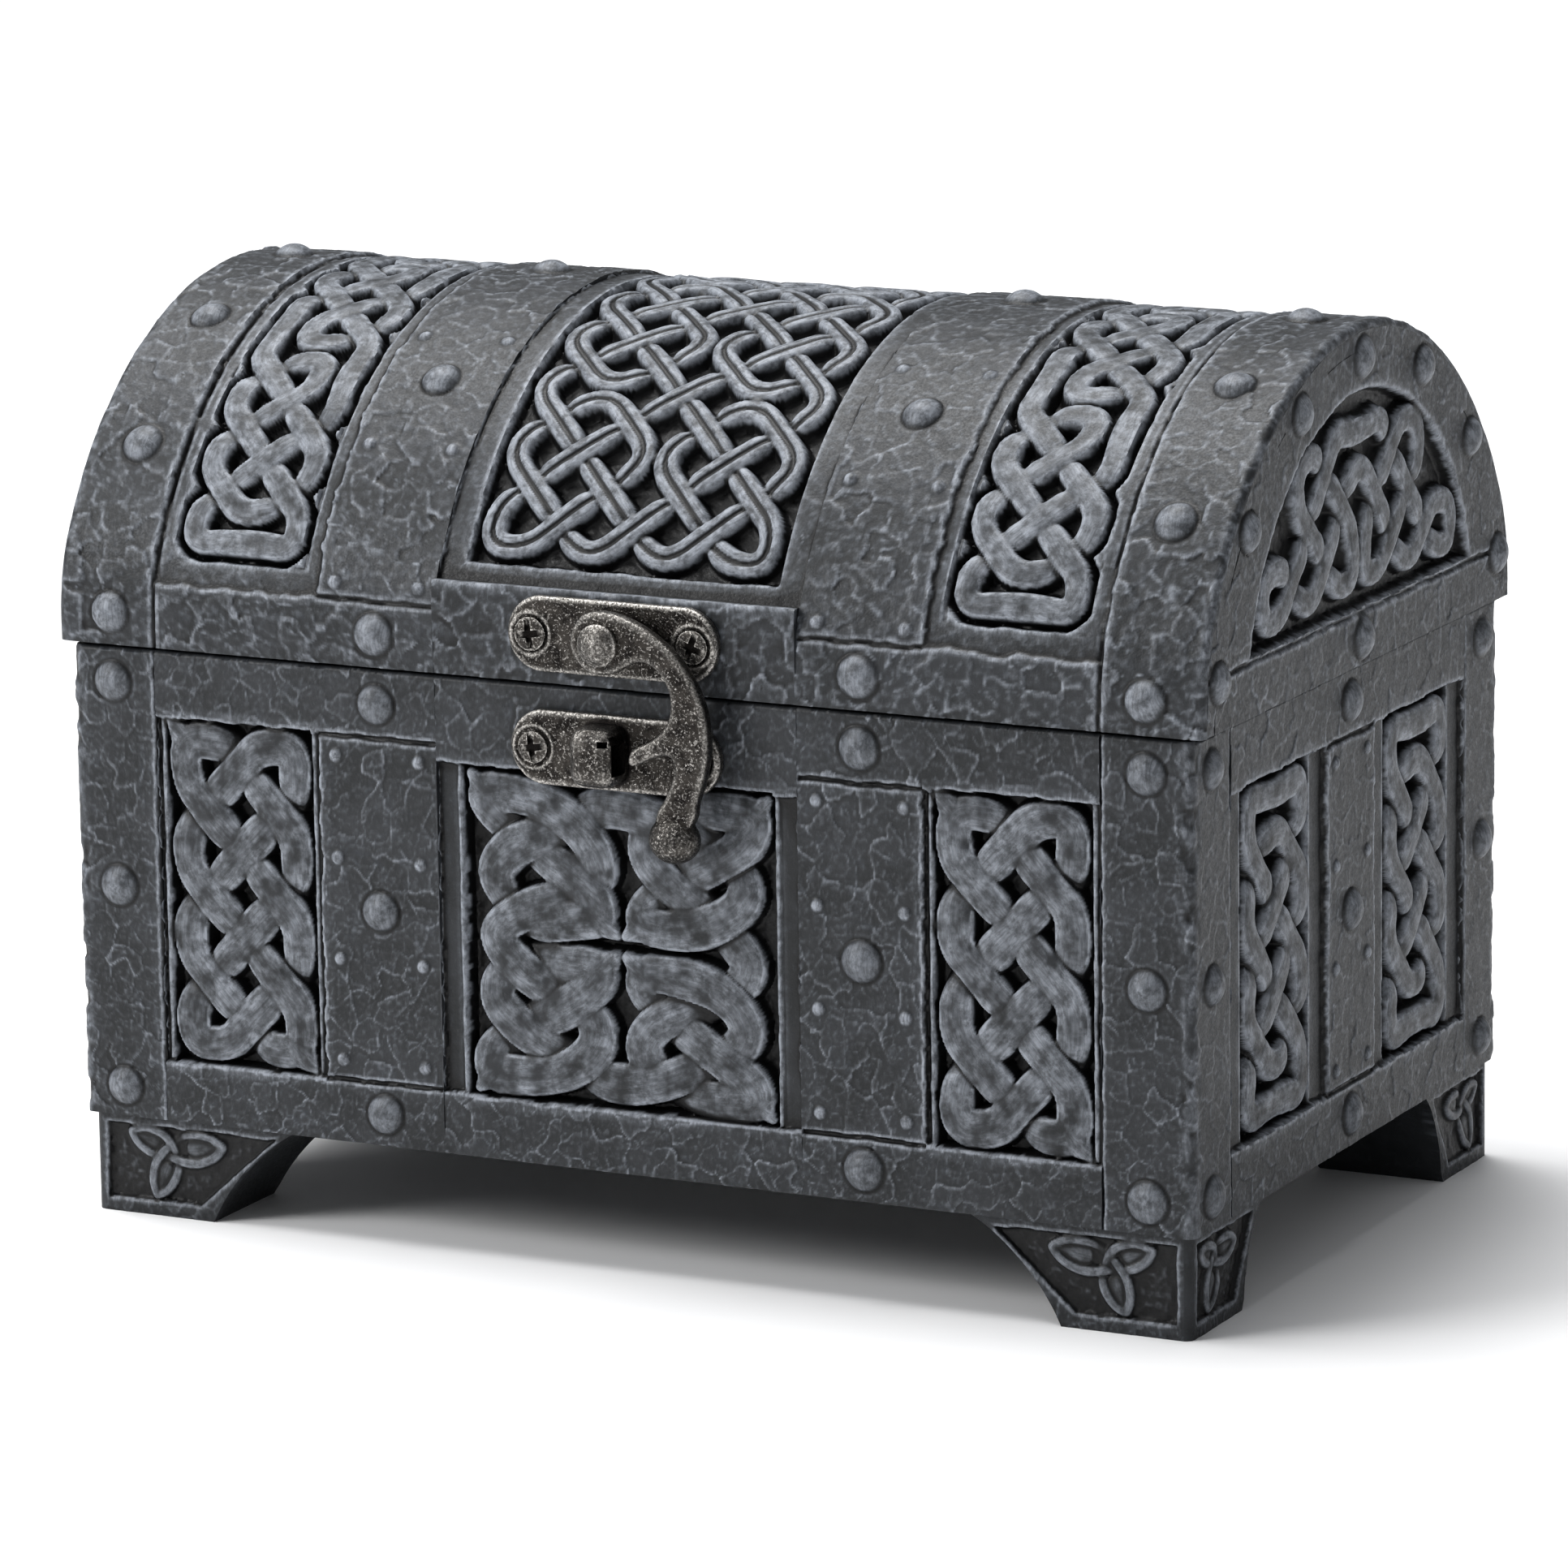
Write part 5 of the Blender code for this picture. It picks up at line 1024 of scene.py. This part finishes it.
def lidSideCanvas(side, seed):
    highX = lid["halfX"] + 1.2
    canvas = newCanvas(base["strapIn"], highX, -rimReach, rimReach, 0.25)
    a, b = canvas["a"], canvas["b"]
    rail = reachOf(lid["railTop"])
    field = inRectangle(canvas, base["strapOut"], base["cornerX"], -rail, rail)
    castPlates(canvas, seed, 1.0, 1.0, 3.4, 0.1, 0.05)
    sink(canvas, ragged(canvas, field, seed + 3), lid["fieldDepth"], 0.3)
    castPlates(canvas, seed + 5, (field > 0) * 0.5)
    foot = reachOf(lid["stripFoot"])
    area = inRectangle(canvas, lid["stripIn"], lid["stripOut"], -foot, foot)
    sink(canvas, ragged(canvas, area, seed + 7, 0.1), lid["panelDepth"], 0.4)
    breaks = {(2, row): "level" for row in (1, 7, 13, 19, 25)}
    breaks.update({(3, row): "upright" for row in (6, 12, 18)})
    breaks.update({(1, row): "upright" for row in (8, 14, 20)})
    middle = (lid["stripIn"] + lid["stripOut"]) / 2
    size = (lid["stripOut"] - lid["stripIn"] - 0.8, 2 * foot - 0.8)
    layKnot(canvas, (middle, 0), size, (2, 13), breaks, True, stripStyle, seed, side)
    outside = outsideOf(canvas, area)
    wavy = canvas["nearest"] + 0.12 * cloud(a, b, 1.8, seed + 9)
    frameRise = smoothStep((wavy - 0.75) / 0.3) * outside * (area > 0)
    level = -lid["fieldDepth"] + 0.05 * cloud(a, b, 1.5, seed + 11)
    canvas["height"] = np.where(frameRise > 0, canvas["height"] + (level - canvas["height"]) * frameRise,
                                canvas["height"])
    stipple(canvas, (canvas["nearest"] > 0.3) & (area > 0) & (frameRise < 0.1), seed + 13)
    brushStrands(canvas, seed + 15)
    line = a - base["cornerX"] + 0.12 * cloud(a, b, 2.5, seed + 17)
    engrave(canvas, line, 0.5, 0.45)
    lidRim(canvas, seed + 19)
    for step in range(-3, 4):
        dome(canvas, rivets["postX"], step / 3 * reachOf(76.1), rivets["radius"], rivets["height"],
             seed + step, rivets["groove"])
    for reach in (-reachOf(76.1), -rivets["lidStrapReach"], 0, rivets["lidStrapReach"], reachOf(76.1)):
        dome(canvas, rivets["strapX"], reach, rivets["radius"], rivets["height"], seed + int(reach),
             rivets["groove"])
    lidStudRows(canvas, rivets["strapX"], seed)
    if side:
        seat = inRectangle(canvas, 51.85 - 10.2, 51.85 + 10.2, reachOf(79.5), rimReach + 1)
        sink(canvas, seat, 0.62, 0.1)
    edge = smoothStep(1.4 - np.abs(a - lid["halfX"] + 0.3) / 1.0)
    canvas["pale"] += 0.35 * edge * smoothStep(0.5 + cloud(a, b, 2.0, seed + 21))
    canvas["height"] -= edge * 0.15 * smoothStep(cloud(a, b, 3.0, seed + 22) * 1.4)
    return canvas


def lidCentreCanvas(seed):
    canvas = newCanvas(-base["strapIn"], base["strapIn"], -rimReach, rimReach, 0.25)
    b = canvas["b"]
    castPlates(canvas, seed, 1.0, 1.0, 3.4, 0.1, 0.05)
    pad = reachOf(lid["padTop"])
    field = inRectangle(canvas, -base["strapIn"], base["strapIn"], -pad, pad)
    sink(canvas, ragged(canvas, field, seed + 3, 0.2), lid["fieldDepth"], 0.3)
    castPlates(canvas, seed + 5, (field > 0) * 0.5)
    foot = reachOf(lid["centreFoot"])
    area = inRectangle(canvas, -lid["centreHalf"], lid["centreHalf"], -foot, foot)
    sink(canvas, ragged(canvas, area, seed + 7, 0.1), lid["panelDepth"], 0.4)
    stipple(canvas, area > 0.2, seed + 9)
    # one regular plait over the whole panel, the same from its foot in front to its foot behind
    breaks = {(4, row): "upright" for row in (3, 7, 15, 19)}
    breaks.update({(column, row): "level" for column in (2, 6) for row in (5, 11, 17)})
    size = (2 * lid["centreHalf"] - 1.2, 2 * foot - 1.2)
    layKnot(canvas, (0, 0), size, (4, 11), breaks, True, dict(stripStyle, width=3.0, groove=0.35), seed)
    brushStrands(canvas, seed + 11)
    onPad = (b < -pad)
    y, _ = archAt(b, 0.0)
    y1, _ = archAt(b, 1.0)
    canvas["pad"] = np.where(onPad, (lid["halfY"] + y) / np.maximum(-(y1 - y), 0.3), 0.0)
    canvas["height"] += canvas["pad"]
    return canvas


def makeLidSkins():
    ringFront = spread(-rimReach, 20, 0.27)
    ringBack = spread(20, rimReach, 0.5)[1:]
    rows = np.concatenate([ringFront, ringBack])
    closing = [(reach, -lid["skin"]) for reach in np.linspace(rimReach, -rimReach, 28)]
    closing = [(rimReach, -0.3)] + closing + [(-rimReach, -0.3)]
    centre = lidCentreCanvas(1300)
    along = lambda a, b, lift: (lambda yz: placed(a, yz[0], yz[1]))(archAt(b, lift))
    reliefSkin("lid_top_centre", centre, spread(-base["strapIn"], base["strapIn"], 0.27), rows,
               closing, along, "lid", "lid_casting")
    radius = lid["edgeRound"]
    flat = lid["halfX"] - radius
    for side, word in ((-1, "left"), (1, "right")):
        def place(a, b, lift):
            turn = np.clip((a - flat) / radius, 0, math.pi / 2)
            past = np.maximum(a - flat - radius * math.pi / 2, 0)
            x = np.minimum(a, flat) + radius * np.sin(turn) - past
            drop = radius * (1 - np.cos(turn)) + past
            shown = np.where(lift < -2.9, lift, lift * np.cos(turn) - drop)
            y, z = archAt(b, shown)
            return placed(side * x, y, z)
        canvas = lidSideCanvas(side, 1400 + 50 * side)
        arc = radius * math.pi / 2
        stations = np.concatenate([spread(base["strapIn"], flat, 0.31),
                                   flat + np.linspace(0, arc, 7)[1:], [flat + arc + 0.2]])
        reliefSkin(f"lid_top_{word}", canvas, stations, rows, closing, place, "lid", "lid_casting")
    print("lid top made")


def lidEndCanvas(seed, step):
    canvas = newCanvas(-lid["halfY"], lid["halfY"], lid["bottom"], lid["top"], step)
    a, b = canvas["a"], canvas["b"]
    castPlates(canvas, seed, 1.0)
    ring = lid["endRing"]
    field = np.minimum(ring[0] - np.hypot(a, b - ring[1]), b - ring[2])
    sink(canvas, ragged(canvas, field, seed + 1, 0.18), lid["endDepth"], 0.7)
    stipple(canvas, field > 0.2, seed + 3)
    breaks = {(6, 1): "upright", (6, 3): "level"}
    for lean in (-1, 1):
        breaks.update({(6 + 5 * lean, 2): "level", (6 + 4 * lean, 3): "upright"})
    within = lambda x, y: abs(x - 6) < (6, 6, 6, 4, 4)[y]
    layKnot(canvas, (0, 92.0), (61, 22.6), (6, 2), breaks, True,
            dict(stripStyle, width=3.3, flank=4.0), seed, within=within, bend=1.5)
    canvas["height"] = np.where(field > 0, canvas["height"], np.minimum(canvas["height"], 0.2))
    brushStrands(canvas, seed + 5)
    line = b - lid["bottom"] - lid["endRail"] + 0.15 * cloud(a, b, 2.5, seed + 7)
    engrave(canvas, np.where(field < 0, line, 9), 0.5, 0.4)
    ringReach = reachOf(lid["bottom"] + lid["endRail"])
    for number in range(-3, 4):
        y, z = archAt(np.array(number / 3 * ringReach), -lid["endBand"] / 2)
        dome(canvas, float(y), float(z), rivets["radius"], rivets["height"], seed + number,
             rivets["groove"])
    dome(canvas, 0, lid["bottom"] + lid["endRail"] / 2, rivets["radius"], rivets["height"], seed,
         rivets["groove"])
    return canvas


def makeLidEnds():
    # columns stand on the rim and end just under the arch's rounded edge
    inset = lid["edgeRound"]
    reach = np.linspace(-springReach, springReach, 4000)
    archY, archZ = archAt(reach, -inset)
    for side, word, step in ((1, "right", 0.25), (-1, "left", 0.4)):
        canvas = lidEndCanvas(1700 + 40 * side, step)
        dryBrushAndShade(canvas)
        half = lid["halfY"] - inset
        turn = np.linspace(-math.pi / 2, math.pi / 2, round(half * 2.5 / step))
        y = half * (0.55 * np.sin(turn) + 0.45 * turn / (math.pi / 2))
        top = np.interp(y, archY, archZ)
        share = spread(0, 1, step / 41)[:, None]
        z = lid["bottom"] + (top - lid["bottom"])[None, :] * share
        gridY = np.broadcast_to(y[None, :], z.shape)
        lift = readCanvas(canvas, "height", gridY, z)
        face = placed(side * (lid["halfX"] + lift), gridY, z)
        back = placed(side * (lid["halfX"] - lid["skin"]), gridY[[-1, 0]], z[[-1, 0]])
        layers = {layer: readCanvas(canvas, layer, gridY, z) for layer in drawnLayers}
        sweptSkin(f"lid_end_{word}", np.concatenate([face, back]), layers, "lid", "lid_casting")
    print("lid ends made")


def archPrism(name, inset, halfX, low):
    # a flat disc set to the arch's outline, then drawn out along the chest
    reach = np.linspace(-springReach, springReach, 63)
    y, z = archAt(reach, -inset)
    y = np.concatenate([[y[0]], y, [y[-1]]])
    z = np.concatenate([[low], z, [low]])
    deselect()
    bpy.ops.mesh.primitive_circle_add(vertices=len(y), radius=mm, fill_type="NGON")
    piece = bpy.context.active_object
    piece.name = name
    piece.data.vertices.foreach_set("co", placed(-halfX, y, z).reshape(-1).astype(np.float32))
    bpy.ops.object.mode_set(mode="EDIT")
    bpy.ops.mesh.select_all(action="SELECT")
    bpy.ops.mesh.extrude_region_move(TRANSFORM_OT_translate={"value": (2 * halfX * mm, 0, 0)})
    bpy.ops.mesh.select_all(action="SELECT")
    bpy.ops.mesh.normals_make_consistent(inside=False)
    bpy.ops.object.mode_set(mode="OBJECT")
    return piece


def makeLidCore():
    hollow = archPrism("lid_hollow", lid["wall"], lid["halfX"] - lid["endWall"], lid["bottom"] - 2)
    piece = archPrism("lid_core", lid["skin"] - 0.3, lid["halfX"] - lid["skin"] + 0.2, lid["bottom"] + 0.05)
    change = piece.modifiers.new("hollow", "BOOLEAN")
    change.operation = "DIFFERENCE"
    change.solver = "EXACT"
    change.object = hollow
    bpy.ops.object.modifier_apply(modifier="hollow")
    bpy.data.objects.remove(hollow)
    bpy.ops.object.shade_smooth_by_angle(angle=math.radians(35))
    finishPiece(piece, "lid_core", "lid", resin, ("lid_casting",))
    print("lid core made")


makeFaces()
makePosts()
makeFeet()
makeBaseCore()
makeLidSkins()
makeLidEnds()
makeLidCore()

# Latch: cast plates, screws, lug, rivet and the swinging hook

latch = {"pivotX": 0.8, "pivotZ": 78.3, "catchZ": 64.5, "length": 28.0, "height": 9.2, "plate": 1.2,
         "lidBack": -47.6, "catchBack": -47.4, "edge": 0.35, "screwAside": 10.8, "headRadius": 2.2,
         "headRise": 0.75, "ringRadius": 2.6, "bossRadius": 3.0, "bossRise": 1.0,
         "lugLow": (-3.4, -53.3, 60.9), "lugHigh": (2.8, -48.0, 68.1), "lugRound": 1.9,
         "crossReach": 1.75, "crossHalf": 0.43, "knob": (9.2, -22.9), "knobRadius": 3.0,
         "slotLow": (0.1, -52.4, 62.6), "slotHigh": (4.0, -49.8, 66.4), "rivetRadius": 2.6,
         "rivetBase": -52.1, "rivetTop": -53.7, "voxel": 0.15}

# The hook's outline from its pivot, as seen from the front: across and up
hookOutline = (
    (-1.4, 3.8), (0.8, 4.0), (3.2, 3.5), (5.7, 2.5), (7.9, 1.1), (9.7, -0.3), (11.2, -2.0), (12.5, -3.9),
    (13.5, -6.2), (14.0, -8.4), (14.2, -10.7), (14.1, -12.6), (13.7, -14.5), (13.1, -16.7),
    (12.4, -18.4), (12.4, -19.8), (11.2, -21.8), (8.7, -23.1), (6.8, -21.4), (7.2, -19.5), (8.2, -18.1),
    (8.9, -16.7), (9.4, -15.3), (9.7, -14.0), (9.4, -13.0), (8.6, -12.7), (7.2, -13.0), (5.7, -13.7),
    (4.4, -14.3), (3.7, -14.4), (3.4, -13.7), (3.8, -12.5), (4.8, -11.9), (6.2, -11.3), (7.5, -10.4),
    (8.5, -9.3), (9.1, -7.9), (9.3, -6.5), (9.1, -5.0), (8.4, -3.5), (7.3, -2.3), (6.0, -1.7),
    (4.7, -1.8), (3.4, -2.5), (2.2, -3.2), (1.0, -3.6), (-0.2, -3.8), (-1.8, -3.4), (-3.1, -2.3),
    (-3.9, -0.8), (-4.0, 0.6), (-3.4, 2.2), (-2.6, 3.2))


def frontPoint(x, y, z):
    return Vector((x * mm, y * mm + chestMiddle, z * mm))


def disc(x, z, radius, back, face, vertices=64):
    # short round bar that points out of the front
    deselect()
    bpy.ops.mesh.primitive_cylinder_add(vertices=vertices, radius=radius * mm, depth=(back - face) * mm,
                                        location=frontPoint(x, (back + face) / 2, z),
                                        rotation=(math.pi / 2, 0, 0))
    bpy.ops.object.transform_apply(location=True, rotation=True, scale=True)
    return bpy.context.active_object


def block(low, high):
    middle = [(a + b) / 2 for a, b in zip(low, high)]
    deselect()
    bpy.ops.mesh.primitive_cube_add(size=mm, location=frontPoint(*middle),
                                    scale=[b - a for a, b in zip(low, high)])
    bpy.ops.object.transform_apply(location=True, rotation=True, scale=True)
    return bpy.context.active_object


def choose(piece, kind, wanted):
    # selects the vertices or edges that pass a test of their places
    bpy.ops.object.mode_set(mode="EDIT")
    bpy.ops.mesh.select_mode(type=kind)
    bpy.ops.mesh.select_all(action="DESELECT")
    bpy.ops.object.mode_set(mode="OBJECT")
    corners = piece.data.vertices
    for part in (corners if kind == "VERT" else piece.data.edges):
        part.select = wanted([part.co] if kind == "VERT" else [corners[i].co for i in part.vertices])
    bpy.ops.object.mode_set(mode="EDIT")


def roundEdges(piece, width, segments, wanted):
    choose(piece, "EDGE", wanted)
    bpy.ops.mesh.bevel(offset=width * mm, segments=segments, affect="EDGES")
    bpy.ops.object.mode_set(mode="OBJECT")


def joined(pieces):
    deselect()
    for piece in pieces:
        piece.select_set(True)
    bpy.context.view_layer.objects.active = pieces[0]
    bpy.ops.object.join()
    return bpy.context.active_object


def castTogether(piece, passes=4):
    # melts overlapping forms into one body with soft edges
    remesh = piece.modifiers.new("cast", "REMESH")
    remesh.mode = "VOXEL"
    remesh.voxel_size = latch["voxel"] * mm
    bpy.ops.object.modifier_apply(modifier="cast")
    soften = piece.modifiers.new("tumbled", "SMOOTH")
    soften.factor = 0.6
    soften.iterations = passes
    bpy.ops.object.modifier_apply(modifier="tumbled")
    bpy.ops.object.shade_smooth()


def cut(piece, tool):
    change = piece.modifiers.new("cut", "BOOLEAN")
    change.operation = "DIFFERENCE"
    change.solver = "EXACT"
    change.object = tool
    deselect()
    piece.select_set(True)
    bpy.context.view_layer.objects.active = piece
    bpy.ops.object.modifier_apply(modifier="cut")
    bpy.data.objects.remove(tool)


def drawWear(piece, reach=10, scale=0.16):
    # bright on edges that stick out, dark in hollows, from how far each point stands off its surroundings
    mesh = piece.data
    count = len(mesh.vertices)
    places = np.zeros(count * 3)
    mesh.vertices.foreach_get("co", places)
    places = places.reshape(-1, 3) / mm
    facing = np.zeros(count * 3)
    mesh.vertices.foreach_get("normal", facing)
    ends = np.zeros(len(mesh.edges) * 2, int)
    mesh.edges.foreach_get("vertices", ends)
    first, second = ends.reshape(-1, 2).T
    share = np.bincount(first, minlength=count) + np.bincount(second, minlength=count)
    soft = places.copy()
    for _ in range(reach):
        total = np.stack([np.bincount(first, soft[second, k], count)
                          + np.bincount(second, soft[first, k], count) for k in range(3)], axis=1)
        soft = total / np.maximum(share, 1)[:, None]
    off = ((places - soft) * facing.reshape(-1, 3)).sum(axis=1)
    for layer, values in (("wear", off), ("cavity", -off)):
        drawn = smoothStep(values / scale).astype(np.float32)
        mesh.attributes.new(layer, "FLOAT", "POINT").data.foreach_set("value", drawn)


def darken(piece, low, high):
    # painted shade inside a slot: its vertices are set fully dark
    layer = piece.data.attributes["cavity"].data
    for vertex in piece.data.vertices:
        inside = all(a - 0.1 < value < b + 0.1 for a, value, b in
                     zip(low, (vertex.co - frontPoint(0, 0, 0)) / mm, high))
        if inside:
            layer[vertex.index].value = 1.0


def stadium(z, back):
    face = back - latch["plate"]
    piece = disc(latch["pivotX"], z, latch["height"] / 2, back, face)
    middle = latch["pivotX"] * mm
    for side in (-1, 1):
        choose(piece, "VERT", lambda places: side * (places[0].x - middle) > 1e-6)
        bpy.ops.transform.translate(value=(side * (latch["length"] - latch["height"]) / 2 * mm, 0, 0))
        bpy.ops.object.mode_set(mode="OBJECT")
    front = frontPoint(0, face, 0).y
    roundEdges(piece, latch["edge"], 3, lambda ends: all(abs(end.y - front) < 1e-6 for end in ends))
    return piece, face


def screwRing(x, z, face):
    deselect()
    bpy.ops.mesh.primitive_torus_add(major_radius=latch["ringRadius"] * mm, minor_radius=0.3 * mm,
                                     major_segments=48, minor_segments=10,
                                     location=frontPoint(x, face + 0.05, z), rotation=(math.pi / 2, 0, 0))
    bpy.ops.object.transform_apply(location=True, rotation=True, scale=True)
    return bpy.context.active_object


def cap(x, z, radius, base, rise, under, neck=0.5):
    # low dome cut from a ball, on a short neck
    ball = (radius ** 2 + rise ** 2) / (2 * rise)
    deselect()
    bpy.ops.mesh.primitive_uv_sphere_add(segments=40, ring_count=32, radius=ball * mm,
                                         location=frontPoint(x, base - rise + ball, z),
                                         rotation=(math.pi / 2, 0, 0))
    bpy.ops.object.transform_apply(location=True, rotation=True, scale=True)
    piece = bpy.context.active_object
    bpy.ops.object.mode_set(mode="EDIT")
    bpy.ops.mesh.select_all(action="SELECT")
    bpy.ops.mesh.bisect(plane_co=frontPoint(x, base, z), plane_no=(0, 1, 0), use_fill=True, clear_outer=True)
    bpy.ops.object.mode_set(mode="OBJECT")
    return joined([piece, disc(x, z, radius - neck, under, base - 0.1, 48)])


def makeScrew(name, x, z, face, body, turned):
    piece = cap(x, z, latch["headRadius"], face - 0.25, latch["headRise"] - 0.25, face + 0.6)
    castTogether(piece, 2)
    for angle in (turned, turned + math.pi / 2):
        reach, half = latch["crossReach"], latch["crossHalf"]
        tool = block((x - reach, face - 1.4, z - half), (x + reach, face - 0.1, z + half))
        tool.data.transform(Matrix.Translation(-frontPoint(x, 0, z)))
        tool.data.transform(Matrix.Rotation(angle, 4, "Y"))
        tool.data.transform(Matrix.Translation(frontPoint(x, 0, z)))
        cut(piece, tool)
    drawWear(piece)
    bpy.ops.object.shade_smooth_by_angle(angle=math.radians(40))
    finishPiece(piece, name + "_head", body, pewter, (name,))


def makeHook():
    x, z = latch["pivotX"], latch["pivotZ"]
    outline = rounded(np.array(hookOutline), 2, 0.3)[0][:-1]
    deselect()
    bpy.ops.mesh.primitive_circle_add(vertices=len(outline), radius=mm, fill_type="NGON")
    arm = bpy.context.active_object
    places = placed(x + outline[:, 0], -50.1, z + outline[:, 1])
    arm.data.vertices.foreach_set("co", places.reshape(-1).astype(np.float32))
    bpy.ops.object.mode_set(mode="EDIT")
    bpy.ops.mesh.select_all(action="SELECT")
    bpy.ops.mesh.extrude_region_move(TRANSFORM_OT_translate={"value": (0, -2.0 * mm, 0)})
    bpy.ops.mesh.select_all(action="SELECT")
    bpy.ops.mesh.normals_make_consistent(inside=False)
    bpy.ops.object.mode_set(mode="OBJECT")
    roundEdges(arm, 0.55, 3, lambda ends: abs(ends[0].y - ends[1].y) < 1e-6)
    deselect()
    bpy.ops.mesh.primitive_uv_sphere_add(segments=40, ring_count=24, radius=latch["knobRadius"] * mm,
                                         location=frontPoint(x + latch["knob"][0], -51.1,
                                                             z + latch["knob"][1]),
                                         scale=(1.1, 0.8, 0.97))
    bpy.ops.object.transform_apply(location=True, rotation=True, scale=True)
    hook = joined([arm, bpy.context.active_object])
    castTogether(hook, 8)
    drawWear(hook, 24, 0.3)
    finishPiece(hook, "swing_hook", "hook", pewter, ("latch_hook",))
    rim = latch["rivetBase"] - 0.5
    rivet = joined([cap(x, z, latch["rivetRadius"], rim, rim - latch["rivetTop"], latch["rivetBase"], 0.02),
                    disc(x, z, latch["rivetRadius"] - 0.5, -48.9, latch["rivetBase"] - 0.1)])
    castTogether(rivet, 2)
    drawWear(rivet, 16, 0.12)
    finishPiece(rivet, "hook_rivet", "lid", pewter, ("latch_rivet",))


def makeLatch():
    x = latch["pivotX"]
    plates = (("lid_latch_plate", "latch_plate", "lid", latch["pivotZ"], latch["lidBack"]),
              ("base_catch_plate", "catch_plate", "base", latch["catchZ"], latch["catchBack"]))
    for name, node, body, z, back in plates:
        plate, face = stadium(z, back)
        parts = [plate] + [screwRing(x + side * latch["screwAside"], z, face) for side in (-1, 1)]
        if body == "lid":
            boss = disc(x, z, latch["bossRadius"], face + 0.3, face - latch["bossRise"])
            parts.append(boss)
        else:
            lug = block(latch["lugLow"], latch["lugHigh"])
            inner = frontPoint(0, latch["lugHigh"][1], 0).y
            roundEdges(lug, latch["lugRound"], 4,
                       lambda ends: not all(abs(end.y - inner) < 1e-6 for end in ends))
            parts.append(lug)
        piece = joined(parts)
        castTogether(piece)
        if body == "base":
            cut(piece, block(latch["slotLow"], latch["slotHigh"]))
            cut(piece, block((0.9, -54.0, 66.1), (2.1, -52.0, 66.9)))
        drawWear(piece, 16)
        # painted shade inside the catch's slot
        if body == "base":
            darken(piece, latch["slotLow"], (4.0, latch["slotHigh"][1], 67.2))
        finishPiece(piece, name, body, pewter, (node,))
        for side, word in ((-1, "left"), (1, "right")):
            turned = 0.25 * side + 0.1
            makeScrew(f"{node}_screw_{word}", x + side * latch["screwAside"], z, face, body, turned)
    makeHook()
    print("latch made")


makeLatch()

# CAD nodes that keep their shape take the metal finishes
for node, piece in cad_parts.items():
    if "hinge" not in node:
        continue
    finish = hingeMetal if "leaf" in node else steel
    for number in range(len(piece.material_slots)):
        piece.material_slots[number].material = finish


# Camera, floor and light

camera = {"place": (453.1996, -904.0501, 274.0774), "turn": 0.4657, "pitch": -0.2172, "roll": -0.0147,
          "focal": 10291.142, "image": 1932}


def makeCamera():
    turn, pitch, roll = camera["turn"], camera["pitch"], camera["roll"]
    forward = Vector((-math.sin(turn) * math.cos(pitch), math.cos(turn) * math.cos(pitch), math.sin(pitch)))
    right = Vector((math.cos(turn), math.sin(turn), 0))
    up = right.cross(forward)
    across = math.cos(roll) * right + math.sin(roll) * up
    above = -math.sin(roll) * right + math.cos(roll) * up
    bpy.ops.object.camera_add()
    eye = bpy.context.active_object
    x, y, z = camera["place"]
    place = Vector((x * mm, y * mm + chestMiddle, z * mm))
    turned = Matrix((across, above, -forward)).transposed().to_4x4()
    eye.matrix_world = Matrix.Translation(place) @ turned
    eye.data.sensor_width = 36
    eye.data.sensor_fit = "HORIZONTAL"
    eye.data.lens = camera["focal"] / camera["image"] * 36
    eye.data.clip_end = 20
    bpy.context.scene.camera = eye
    return eye


def makeFloor():
    deselect()
    bpy.ops.mesh.primitive_plane_add(size=9, location=(0, 1.5, 0))
    floor = bpy.context.active_object
    floor.name = "studio_floor"
    material, place = newMaterial("paperFloor")
    tone = blendColour(material, addNode(material, "ShaderNodeTexNoise", {"Scale": 0.05},
                                         {"Vector": place}).outputs["Fac"], "#f6f6f7", "#fafafa")
    shader = addNode(material, "ShaderNodeBsdfPrincipled", {"Roughness": 0.6, "Specular IOR Level": 0.2},
                     {"Base Color": tone})
    addNode(material, "ShaderNodeOutputMaterial", {}, {"Surface": shader.outputs[0]})
    floor.data.materials.append(material)


def makeLight(name, place, target, size, power, colour="#ffffff"):
    bpy.ops.object.light_add(type="AREA", location=place)
    lamp = bpy.context.active_object
    lamp.name = name
    lamp.data.shape = "RECTANGLE"
    lamp.data.size, lamp.data.size_y = size
    lamp.data.energy = power
    lamp.data.color = linear(colour)[:3]
    lamp.rotation_euler = (Vector(target) - Vector(place)).to_track_quat("-Z", "Y").to_euler()


makeCamera()
makeFloor()
makeLight("softbox_above", (-0.3, 0.05, 1.2), (0, 0, 0.05), (0.8, 0.6), 8)
makeLight("softbox_left", (-0.45, -0.5, 0.4), (-0.03, 0, 0.06), (0.3, 0.3), 3.4)
bpy.ops.object.light_add(type="SUN", rotation=(math.radians(-8), math.radians(-20), 0))
bpy.context.active_object.name = "ceiling_bounce"
bpy.context.active_object.data.energy = 2.6
bpy.context.active_object.data.angle = math.radians(50)
world = bpy.data.worlds.new("studio")
world.use_nodes = True
world.node_tree.nodes["Background"].inputs["Color"].default_value = linear("#f4f6f9")
world.node_tree.nodes["Background"].inputs["Strength"].default_value = 0.3
bpy.context.scene.world = world
bpy.context.scene.view_settings.view_transform = "Standard"

print("scene made")
